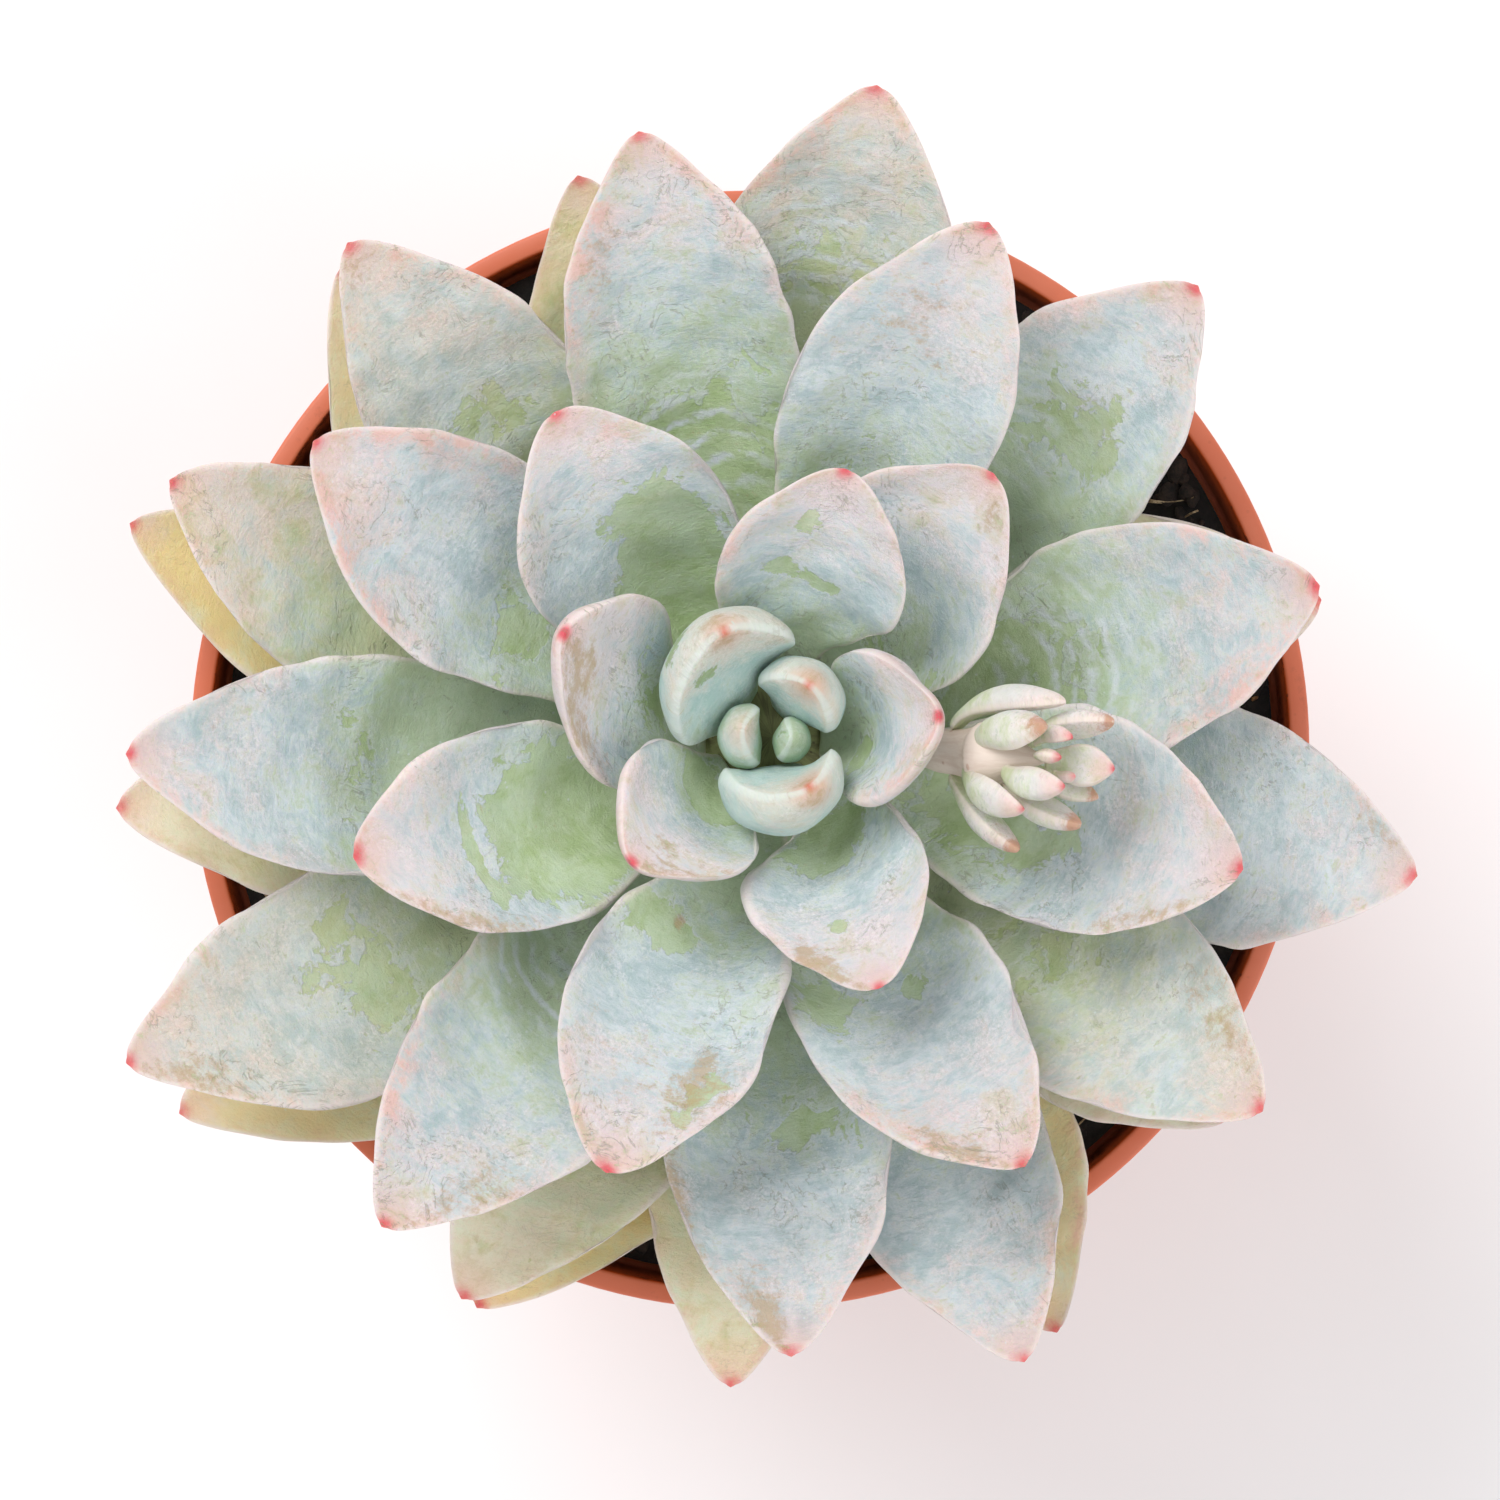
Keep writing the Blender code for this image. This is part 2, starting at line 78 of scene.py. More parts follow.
def shade(code: str) -> tuple[float, float, float, float]:
    """Gives a colour's linear values.

    Args:
        code: six hexadecimal digits, as a paint chart gives them.

    Returns:
        Red, green, blue and an opaque alpha.
    """
    steps = [int(code[place:place + 2], 16) / 255 for place in (0, 2, 4)]
    linear = [step / 12.92 if step <= 0.04045 else ((step + 0.055) / 1.055) ** 2.4 for step in steps]
    return (*linear, 1.0)


# ---------------------------------------------------------------- shader graphs


class Graph:
    """Places nodes in one tree. A setting that is a socket is wired in, and any other is a value."""

    def __init__(self, tree: bpy.types.NodeTree) -> None:
        """Takes the tree that it works on."""
        self.tree = tree

    def add(self, kind: str, settings: dict[str | int, object] | None = None, **options: object) -> Node:
        """Adds one node.

        Args:
            kind: the node's class name after "ShaderNode".
            settings: inputs by name or number.
            options: the node's own properties.

        Returns:
            The new node.
        """
        node = self.tree.nodes.new(kind if kind.startswith("Node") else "ShaderNode" + kind)
        for name, value in options.items():
            setattr(node, name, value)
        self.set(node, settings or {})
        return node

    def set(self, node: Node, settings: dict[str | int, object]) -> None:
        """Wires or sets some of a node's inputs."""
        for key, value in settings.items():
            if isinstance(value, Socket):
                self.tree.links.new(value, node.inputs[key])
            else:
                node.inputs[key].default_value = value

    def maths(self, operation: str, *values: Socket | float, clamp: bool = False) -> Socket:
        """Adds a Math node and gives its result."""
        return self.add("Math", dict(enumerate(values)), operation=operation, use_clamp=clamp).outputs[0]

    def times(self, first: Socket, second: Socket | float, clamp: bool = False) -> Socket:
        """Multiplies two values."""
        return self.maths("MULTIPLY", first, second, clamp=clamp)

    def line(self, value: Socket, slope: Socket | float, base: Socket | float) -> Socket:
        """Gives value * slope + base."""
        return self.maths("MULTIPLY_ADD", value, slope, base)

    def sway(self, noise: Socket, reach: float, base: Socket) -> Socket:
        """Sways base up and down by a noise that is centred on 0.5."""
        return self.line(self.maths("SUBTRACT", noise, 0.5), reach, base)

    def rest(self, value: Socket) -> Socket:
        """Gives 1 - value."""
        return self.maths("SUBTRACT", 1.0, value)

    def mix(self, share: Socket | float, first: object, second: object) -> Socket:
        """Blends two colours, each a socket or a hexadecimal code, and gives the result."""
        first, second = (shade(colour) if isinstance(colour, str) else colour for colour in (first, second))
        return self.add("Mix", {0: share, 6: first, 7: second}, data_type="RGBA").outputs[2]

    def rise(self, value: Socket, low: float, high: float, top: float = 1.0) -> Socket:
        """Gives a smooth step from 0 at low to top at high."""
        settings = {"Value": value, "From Min": low, "From Max": high, "To Min": 0.0, "To Max": top}
        return self.add("MapRange", settings, interpolation_type="SMOOTHSTEP").outputs[0]

    def noise(self, place: Socket, scale: float, detail: float = 3.0, rough: float = 0.5,
              warp: float = 0.0) -> Socket:
        """Gives a noise value between 0 and 1, centred on 0.5."""
        settings = {"Vector": place, "Scale": scale, "Detail": detail, "Roughness": rough, "Distortion": warp}
        return self.add("TexNoise", settings).outputs[0]

    def centimetres(self) -> Socket:
        """Gives the object's own coordinates, in centimetres."""
        place = self.add("TexCoord").outputs["Object"]
        return self.add("Mapping", {"Vector": place, "Scale": (100.0, 100.0, 100.0)}).outputs[0]

    def attribute(self, name: str) -> Node:
        """Reads an attribute of the mesh."""
        return self.add("Attribute", attribute_name=name)

    def parts(self, vector: Socket) -> tuple[Socket, Socket, Socket]:
        """Splits a vector into its three values."""
        node = self.add("SeparateXYZ", {0: vector})
        return node.outputs[0], node.outputs[1], node.outputs[2]


def shader_group(name: str, takes: dict[str, str], gives: dict[str, str]) -> tuple[Graph, Node, Node]:
    """Starts a node group that several materials share.

    Args:
        name: the group's name.
        takes: its inputs, each with its kind, such as "Float".
        gives: its outputs, in the same way.

    Returns:
        The graph inside it, and its input and output nodes.
    """
    tree = bpy.data.node_groups.new(name, "ShaderNodeTree")
    for direction, sockets in (("INPUT", takes), ("OUTPUT", gives)):
        for socket, kind in sockets.items():
            tree.interface.new_socket(socket, in_out=direction, socket_type="NodeSocket" + kind)
    graph = Graph(tree)
    return graph, graph.add("NodeGroupInput"), graph.add("NodeGroupOutput")


class Effects:
    """The groups that more than one finish uses, each built once."""

    @staticmethod
    def use(graph: Graph, name: str, settings: dict[str, object]) -> Node:
        """Places a group in a material's graph.

        Args:
            graph: the material's graph.
            name: which effect.
            settings: its inputs.

        Returns:
            The group's node.
        """
        tree = bpy.data.node_groups.get(name) or getattr(Effects, name)()
        node = graph.add("Group")
        node.node_tree = tree
        graph.set(node, settings)
        return node

    @staticmethod
    def wax_cover() -> bpy.types.NodeTree:
        """The powdery wax: whole where nothing touched it, thinned in clouds, and gone in wavy patches."""
        graph, given, out = shader_group(
            "wax_cover", {"Place": "Vector", "Rubbed": "Float", "Thin": "Float"},
            {"Cover": "Float", "Thinned": "Float", "Crust": "Float", "Mottle": "Float"},
        )
        place = given.outputs["Place"]
        drift = graph.maths("SUBTRACT", graph.noise(place, 2.2, 7.0, 0.66, 0.7), 0.5)
        grain = graph.maths("SUBTRACT", graph.noise(place, 11.0, 5.0, 0.7, 0.3), 0.5)
        ragged = graph.line(drift, 2.0, given.outputs["Rubbed"])
        ragged = graph.line(grain, 0.6, ragged)
        bare = graph.rise(ragged, 0.50, 0.60)
        cover = graph.rest(bare)
        rim = graph.times(graph.rise(ragged, 0.38, 0.50), cover)
        mottle = graph.noise(place, 2.6, 7.0, 0.7, 0.5)
        cloud = graph.sway(mottle, 2.4, given.outputs["Thin"])
        cloud = graph.line(grain, 1.2, cloud)
        thinned = graph.rise(cloud, 0.0, 1.0)
        graph.set(out, {"Cover": cover, "Thinned": thinned, "Crust": rim, "Mottle": mottle})
        return graph.tree

    @staticmethod
    def water_marks() -> bpy.types.NodeTree:
        """Hairlines where drops dried on the wax: broken contours of a slow noise."""
        graph, given, out = shader_group(
            "water_marks", {"Place": "Vector", "Amount": "Float"}, {"Lines": "Float"}
        )
        place = given.outputs["Place"]
        height = graph.times(graph.noise(place, 1.7, 5.0, 0.6, 1.0), 8.0)
        wave = graph.maths("PINGPONG", height, 0.5)
        line = graph.rest(graph.rise(wave, 0.0, 0.1))
        where = graph.rise(graph.noise(place, 0.9, 2.0), 0.47, 0.60)
        broken = graph.rise(graph.noise(place, 7.0, 2.0), 0.40, 0.52)
        lines = graph.times(graph.times(line, where), broken)
        graph.set(out, {"Lines": graph.times(lines, given.outputs["Amount"])})
        return graph.tree

    @staticmethod
    def specks() -> bpy.types.NodeTree:
        """Scattered dots, such as pits in wax or grit on plastic."""
        graph, given, out = shader_group(
            "specks", {"Place": "Vector", "Scale": "Float", "Size": "Float", "Share": "Float"},
            {"Dots": "Float"},
        )
        node = graph.add("TexVoronoi", {"Vector": given.outputs["Place"], "Scale": given.outputs["Scale"]})
        chosen = graph.maths("LESS_THAN", graph.parts(node.outputs["Color"])[0], given.outputs["Share"])
        far = graph.maths("DIVIDE", node.outputs["Distance"], given.outputs["Size"], clamp=True)
        graph.set(out, {"Dots": graph.times(graph.rise(graph.rest(far), 0.0, 0.5), chosen)})
        return graph.tree

    @staticmethod
    def dirt() -> bpy.types.NodeTree:
        """Dried soil that clings in patches and thins out."""
        graph, given, out = shader_group(
            "dirt", {"Place": "Vector", "Amount": "Float"}, {"Cover": "Float", "Height": "Float"}
        )
        place = given.outputs["Place"]
        broad = graph.noise(place, 1.2, 4.0, 0.6, 0.6)
        fine = graph.noise(place, 14.0, 5.0, 0.75)
        total = graph.sway(fine, 0.8, broad)
        total = graph.maths("ADD", total, graph.maths("SUBTRACT", given.outputs["Amount"], 0.5))
        graph.set(out, {"Cover": graph.rise(total, 0.52, 0.70), "Height": fine})
        return graph.tree


def new_material(name: str) -> tuple[Material, Graph, Node]:
    """Starts a material with one Principled shader.

    Args:
        name: its name.

    Returns:
        The material, its graph and the shader's node.
    """
    made = bpy.data.materials.new(name)
    made.use_nodes = True
    return made, Graph(made.node_tree), made.node_tree.nodes["Principled BSDF"]


# ---------------------------------------------------------------- finishes


@dataclass(frozen=True)
class BladeFinish:
    """A waxy leaf or bract: flesh below, bloom on it, what sun and age add, and painted highlight along the
    raised margin.
    """

    name: str
    bloom: str = "B3C7C9"
    bloom_pale: str = "DFE6EA"
    crown: str = "E7DFE1"  # towards the tip
    cream: str = "D9CFBC"  # in the crown
    flesh: str = "C4D6A8"
    flesh_deep: str = "A8C080"
    blush: str = "EDB9AD"
    # margin: painted highlight along the raised edge
    margin: str = "F6E6E2"
    frost: str = "FAF9FA"  # the coarsest grains of wax
    pore: str = "9DB3A0"  # between the grains
    tip: str = "E6485A"
    cork: str = "BFA37A"
    crack: str = "989984"
    aged: str = "EBD99A"
    marks: float = 0.8  # how strong cracks and flecks are
    fine: float = 0.6  # how strong the streaks in the bloom are
    grain: float = 0.5  # how strong the coarse grains are

    def build(self) -> Material:
        """Makes the material. It reads the blade's own attributes, so patterns follow the leaf."""
        made, graph, shader = new_material(self.name)
        skin = graph.attribute("skin").outputs["Vector"]
        bare_mark, thin_mark, cork_mark = graph.parts(graph.attribute("wear").outputs["Vector"])
        blush_mark, red_mark, aged_mark = graph.parts(graph.attribute("tint").outputs["Vector"])
        edge, along, arc_mark = graph.parts(graph.attribute("place").outputs["Vector"])
        wander = graph.noise(skin, 1.8, 6.0, 0.7, 0.5)
        streaks = self._streaks(graph, skin)
        wax = Effects.use(graph, "wax_cover", {"Place": skin, "Rubbed": bare_mark, "Thin": thin_mark})
        cover, thin, crust, mottle = wax.outputs

        top = graph.sway(wander, 0.7, along)
        top = graph.sway(streaks, 0.35, top)
        near = graph.rest(graph.rise(edge, 0.3, 3.4))
        # Besides the leaf's own pale crown towards the tip, the crown colour is laid on within a few mm of the
        # margin (0.22 of near): painted light on the raised rim.
        crown = graph.line(near, 0.22, graph.rise(top, 0.60, 0.92))
        tone = graph.sway(streaks, self.fine, mottle)
        bloom = graph.mix(graph.rise(tone, 0.30, 0.70), self.bloom, self.bloom_pale)
        sunny = graph.mix(graph.rise(mottle, 0.44, 0.66), self.crown, self.cream)
        bloom = graph.mix(graph.times(crown, 0.85, clamp=True), bloom, sunny)
        powder = graph.noise(skin, 26.0, 6.0, 0.8, 0.3)
        coarse = graph.rise(wander, 0.40, 0.62, self.grain)
        grains = graph.times(graph.rise(powder, 0.50, 0.62), coarse)
        bloom = graph.mix(grains, bloom, self.frost)
        pores = graph.times(graph.rise(powder, 0.48, 0.36), coarse)
        bloom = graph.mix(pores, bloom, self.pore)
        flesh = graph.mix(graph.rise(mottle, 0.38, 0.64), self.flesh, self.flesh_deep)
        colour = graph.mix(graph.times(thin, 0.68), bloom, flesh)
        gone = graph.times(graph.rest(cover), 0.72)
        colour = graph.mix(gone, colour, flesh)
        colour = graph.mix(graph.times(crust, 0.4), colour, self.bloom_pale)
        age_share = graph.times(aged_mark, graph.rise(wander, 0.1, 0.7), clamp=True)
        colour = graph.mix(age_share, colour, self.aged)

        pink = graph.times(graph.line(near, 0.65, 0.35), blush_mark)
        patchy = graph.sway(streaks, 0.3, wander)
        pink = graph.times(pink, graph.rise(patchy, 0.32, 0.80))
        halo = graph.times(graph.rise(red_mark, 0.0, 0.9), 0.5)
        pink = graph.maths("MAXIMUM", graph.maths("MINIMUM", pink, 0.7), halo)
        colour = graph.mix(pink, colour, self.blush)
        # A pale line within about a mm of the edge, in the margin colour: painted highlight on the raised
        # margin.
        crest = graph.times(graph.rest(graph.rise(edge, 0.1, 1.0)), 0.6)
        colour = graph.mix(crest, colour, self.margin)
        flaky = graph.line(streaks, 0.6, graph.noise(skin, 6.0, 7.0, 0.8))
        flaky = graph.maths("SUBTRACT", flaky, 0.8)
        corky = graph.rise(graph.line(flaky, 3.0, cork_mark), 0.3, 1.1)
        colour = graph.mix(graph.times(corky, 0.7), colour, self.cork)
        red_place = graph.sway(wander, 0.5, red_mark)
        colour = graph.mix(graph.rise(red_place, 0.78, 1.2, 0.92), colour, self.tip)

        amount = graph.times(cover, self.marks)
        lines = Effects.use(graph, "water_marks", {"Place": skin, "Amount": amount}).outputs[0]
        colour = graph.mix(graph.times(lines, 0.6), colour, self.crack)
        worn = graph.sway(powder, 0.7, streaks)
        flecks = graph.times(graph.rise(worn, 0.58, 0.64), graph.rise(mottle, 0.50, 0.60))
        flecks = graph.times(flecks, amount)
        colour = graph.mix(graph.times(flecks, 0.6), colour, self.flesh)
        pits = Effects.use(graph, "specks", {"Place": skin, "Scale": 9.0, "Size": 0.15, "Share": 0.2})
        colour = graph.mix(graph.times(pits.outputs[0], 0.5), colour, self.bloom_pale)
        waves = graph.times(self._arcs(graph, skin), arc_mark)
        colour = graph.mix(graph.times(waves, 0.85, clamp=True), colour, self.bloom_pale)

        relief = graph.line(cover, 0.5, graph.times(powder, 0.8))
        for mark, depth in ((lines, -0.5), (flecks, -0.5), (corky, -0.3), (streaks, 0.9)):
            relief = graph.line(mark, depth, relief)
        bump = graph.add("Bump", {"Strength": 0.65, "Distance": 0.0005, "Height": relief})
        graph.set(shader, {
            "Base Color": colour,
            "Roughness": graph.line(cover, 0.2, 0.36),
            "Normal": bump.outputs[0],
            "Specular IOR Level": 0.4,
            "Subsurface Weight": 0.2,
            "Subsurface Radius": (0.6, 1.0, 0.4),
            "Subsurface Scale": 0.002,
        })
        return made

    @staticmethod
    def _streaks(graph: Graph, skin: Socket) -> Socket:
        """Gives a noise drawn out across the leaf, as the wax cracks when the leaf grows."""
        run, side, apart = graph.parts(skin)
        drawn = graph.add("CombineXYZ", {"X": graph.times(run, 2.4), "Y": side, "Z": apart})
        return graph.noise(drawn.outputs[0], 5.0, 6.0, 0.72, 0.6)

    @staticmethod
    def _arcs(graph: Graph, skin: Socket) -> Socket:
        """Gives pale arcs across the leaf, where the wax lies in waves."""
        run, side, _ = graph.parts(skin)
        bowed = graph.line(graph.times(side, side), 0.3, run)
        shaken = graph.line(graph.noise(skin, 1.6, 4.0, 0.6), 0.45, bowed)
        wave = graph.maths("PINGPONG", graph.times(shaken, 4.2), 0.5)
        lines = graph.rise(wave, 0.18, 0.46)
        broken = graph.rise(graph.noise(skin, 3.5, 4.0, 0.6), 0.38, 0.58)
        return graph.times(lines, broken)


@dataclass(frozen=True)
class PlasticFinish:
    """The pot's moulded plastic, with dried soil on it and painted shade on its inner wall."""

    name: str
    colour: str = "D8704F"
    pale: str = "E0866A"
    # inside: the same plastic on the inner wall, darkened and deepened as painted shade
    shaded_inside: str = "CF5420"
    soil: str = "2A1A12"

    def build(self) -> Material:
        """Makes the material. The attribute "inner" is 1 on the inner wall."""
        made, graph, shader = new_material(self.name)
        place = graph.centimetres()
        inner = graph.attribute("inner").outputs["Fac"]
        cloud = graph.noise(place, 0.9, 4.0, 0.6)
        colour = graph.mix(graph.rise(cloud, 0.35, 0.7, 0.3), self.colour, self.pale)
        # The inner wall takes a darker, deeper orange: painted shade inside the pot, on the same plastic as the
        # outside.
        colour = graph.mix(inner, colour, self.shaded_inside)
        amount = graph.line(inner, 0.14, 0.36)
        dirt = Effects.use(graph, "dirt", {"Place": place, "Amount": amount})
        dirty = graph.times(dirt.outputs["Cover"], graph.line(inner, 0.6, 0.12))
        colour = graph.mix(dirty, colour, self.soil)
        grit = Effects.use(graph, "specks", {"Place": place, "Scale": 12.0, "Size": 0.3, "Share": 0.12})
        gritty = graph.times(grit.outputs[0], graph.line(inner, 0.7, 0.08))
        colour = graph.mix(gritty, colour, self.soil)
        grain = graph.noise(place, 60.0, 3.0, 0.7)
        height = graph.line(dirt.outputs["Height"], dirty, graph.times(grain, 0.15))
        bump = graph.add("Bump", {"Strength": 0.3, "Distance": 0.0003, "Height": height})
        rough = graph.line(dirty, 0.45, graph.line(inner, -0.16, 0.46))
        graph.set(shader, {
            "Base Color": colour, "Roughness": rough, "Normal": bump.outputs[0], "Specular IOR Level": 0.45,
        })
        return made


@dataclass(frozen=True)
class EarthFinish:
    """Something out of the potting mix: peat, bark, grit or fibre."""

    name: str
    dark: str
    light: str
    scale: float = 6.0
    roughness: float = 0.95
    grain: float = 0.6

    def build(self) -> Material:
        """Makes the material, mottled in the object's own coordinates."""
        made, graph, shader = new_material(self.name)
        place = graph.centimetres()
        broad = graph.noise(place, self.scale, 5.0, 0.7, 0.3)
        fine = graph.noise(place, self.scale * 7.0, 4.0, 0.75)
        total = graph.sway(fine, 0.6, broad)
        colour = graph.mix(graph.rise(total, 0.35, 0.75), self.dark, self.light)
        bump = graph.add("Bump", {"Strength": self.grain, "Distance": 0.0005, "Height": total})
        graph.set(shader, {"Base Color": colour, "Roughness": self.roughness, "Normal": bump.outputs[0]})
        return made


@dataclass(frozen=True)
class StalkFinish:
    """The skin of a stem or stalk: streaked lengthwise and freckled."""

    name: str
    base: str
    streak: str
    freckle: str
    roughness: float = 0.6

    def build(self) -> Material:
        """Makes the material. It reads the "skin" attribute, which runs along the stalk."""
        made, graph, shader = new_material(self.name)
        skin = graph.attribute("skin").outputs["Vector"]
        stretched = graph.add("Mapping", {"Vector": skin, "Scale": (1.0, 5.0, 5.0)}).outputs[0]
        streaks = graph.noise(stretched, 2.5, 5.0, 0.65)
        colour = graph.mix(graph.rise(streaks, 0.4, 0.68), self.base, self.streak)
        dots = Effects.use(graph, "specks", {"Place": skin, "Scale": 10.0, "Size": 0.25, "Share": 0.25})
        colour = graph.mix(graph.times(dots.outputs[0], 0.55), colour, self.freckle)
        height = graph.line(dots.outputs[0], -0.5, streaks)
        bump = graph.add("Bump", {"Strength": 0.4, "Distance": 0.0003, "Height": height})
        graph.set(shader, {"Base Color": colour, "Roughness": self.roughness, "Normal": bump.outputs[0]})
        return made


# ---------------------------------------------------------------- mesh helpers


def to_mesh(bm: BMesh, name: str) -> Mesh:
    """Turns a bmesh into a mesh and uses it up."""
    mesh = bpy.data.meshes.new(name)
    bm.to_mesh(mesh)
    bm.free()
    return mesh


def ball(sides: int, rings: int) -> BMesh:
    """Makes a unit ball, which is then drawn out into a blade, stalk or stem."""
    bm = bmesh.new()
    bmesh.ops.create_uvsphere(bm, u_segments=sides, v_segments=rings, radius=1.0)
    return bm


def turned(outline: list[tuple[float, float]], steps: int) -> BMesh:
    """Spins an outline round the upright axis.

    Args:
        outline: each corner's radius and height, from the axis back to the axis.
        steps: how many faces stand round the body.

    Returns:
        The closed body, faces out.
    """
    bm = bmesh.new()
    verts = [bm.verts.new((radius, 0.0, height)) for radius, height in outline]
    edges = [bm.edges.new(pair) for pair in zip(verts, verts[1:])]
    bmesh.ops.spin(bm, geom=verts + edges, cent=(0, 0, 0), axis=UP, angle=math.tau, steps=steps,
                   use_merge=True)
    bmesh.ops.remove_doubles(bm, verts=bm.verts, dist=0.01 * MM)
    bmesh.ops.recalc_face_normals(bm, faces=bm.faces)
    return bm


def points_of(mesh: Mesh) -> Array:
    """Gives a mesh's points, a row for each."""
    values = np.zeros(len(mesh.vertices) * 3)
    mesh.vertices.foreach_get("co", values)
    return values.reshape(-1, 3)


def finish_piece(name: str, source: BMesh | Mesh, finish: Material, slot: Slot,
                 replaces: str | None = None) -> bpy.types.Object:
    """Turns a finished mesh into a piece of the plant that rides on its body.

    Args:
        name: the piece's name.
        source: a bmesh, which is used up, or a mesh.
        finish: its material.
        slot: the record's slot that the finish belongs to.
        replaces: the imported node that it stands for.

    Returns:
        The new object.
    """
    mesh = to_mesh(source, name) if isinstance(source, BMesh) else source
    mesh.shade_smooth()
    mesh.materials.clear()
    mesh.materials.append(finish)
    piece = bpy.data.objects.new(name, mesh)
    bpy.context.scene.collection.objects.link(piece)
    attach(piece, "root")
    if replaces:
        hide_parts(replaces)
    LOG.info("%s: %d faces, slot %s", name, len(mesh.polygons), slot.value)
    return piece


def write_attribute(mesh: Mesh, name: str, values: Array) -> None:
    """Stores one value, or one vector, for each vertex."""
    kind, key = ("FLOAT_VECTOR", "vector") if values.ndim == 2 else ("FLOAT", "value")
    mesh.attributes.new(name, kind, "POINT").data.foreach_set(key, values.astype(np.float32).ravel())


def merged_copy(node: str) -> BMesh:
    """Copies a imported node's mesh and joins its loose triangles."""
    bm = bmesh.new()
    bm.from_mesh(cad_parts[node].data)
    bmesh.ops.remove_doubles(bm, verts=bm.verts, dist=1e-6)
    return bm


def curve_through(points: Array, at: Array) -> Array:
    """Runs smooth curves (Catmull-Rom) through rows of points.

    Args:
        points: the rows, with one extra row before the first and one after the last.
        at: where to read them, counted in rows from the first real one.

    Returns:
        One row for each place.
    """
    low = np.clip(np.floor(at).astype(int), 0, len(points) - 4)
    share = (at - low).reshape(-1, *([1] * (points.ndim - 1)))
    a, b, c, d = (points[low + step] for step in range(4))
    return b + 0.5 * share * (c - a + share * (2 * a - 5 * b + 4 * c - d + share * (3 * (b - c) + d - a)))


# ---------------------------------------------------------------- blades


class Mark(Enum):
    """What a patch on a blade shows."""

    BARE = "wax gone"
    THIN = "wax thinned"
    CORK = "tan and corky"
    BLUSH = "pink"
    RED = "red"
    AGED = "yellowed"
    ARCS = "wax in waves"


@dataclass(frozen=True)
class Patch:
    """A soft-edged patch on a blade's upper face, placed in shares of its length and half-width."""

    mark: Mark
    along: float
    across: float
    length: float
    breadth: float
    strength: float = 1.0


def patches_of(mark: Mark) -> Callable[..., Patch]:
    """Gives a function that makes patches of one kind from their place, size and strength."""
    return lambda *values: Patch(mark, *values)


bare, cork, pink, arcs = (patches_of(mark) for mark in (Mark.BARE, Mark.CORK, Mark.BLUSH, Mark.ARCS))


@dataclass(frozen=True)
class Habit:
    """What one blade has of its own besides the shape of its node."""

    bare: float = 0.1  # wax gone, all over
    thin: float = 0.12  # wax thinned, all over
    green_to: float = 0.72  # share of the length up to which the wax is thinner
    green: float = 0.95
    crown: float = 0.9  # how far down the pale crown reaches
    blush: float = 0.8
    red: float = 1.0
    aged: float = 0.0
    cork: float = 0.0
    dish: float = 2.3  # mm that the middle of the face sinks
    ripple: float = 0.55  # mm
    curl_left: float = 0.3  # mm that the margin turns up
    curl_right: float = 0.3
    mucro: float = 0.25  # mm of point beyond the node's tip
    plump: float = 0.0  # share by which the blade is fuller than its node
    both: bool = False  # whether the patches show on both faces
    patches: tuple[Patch, ...] = ()


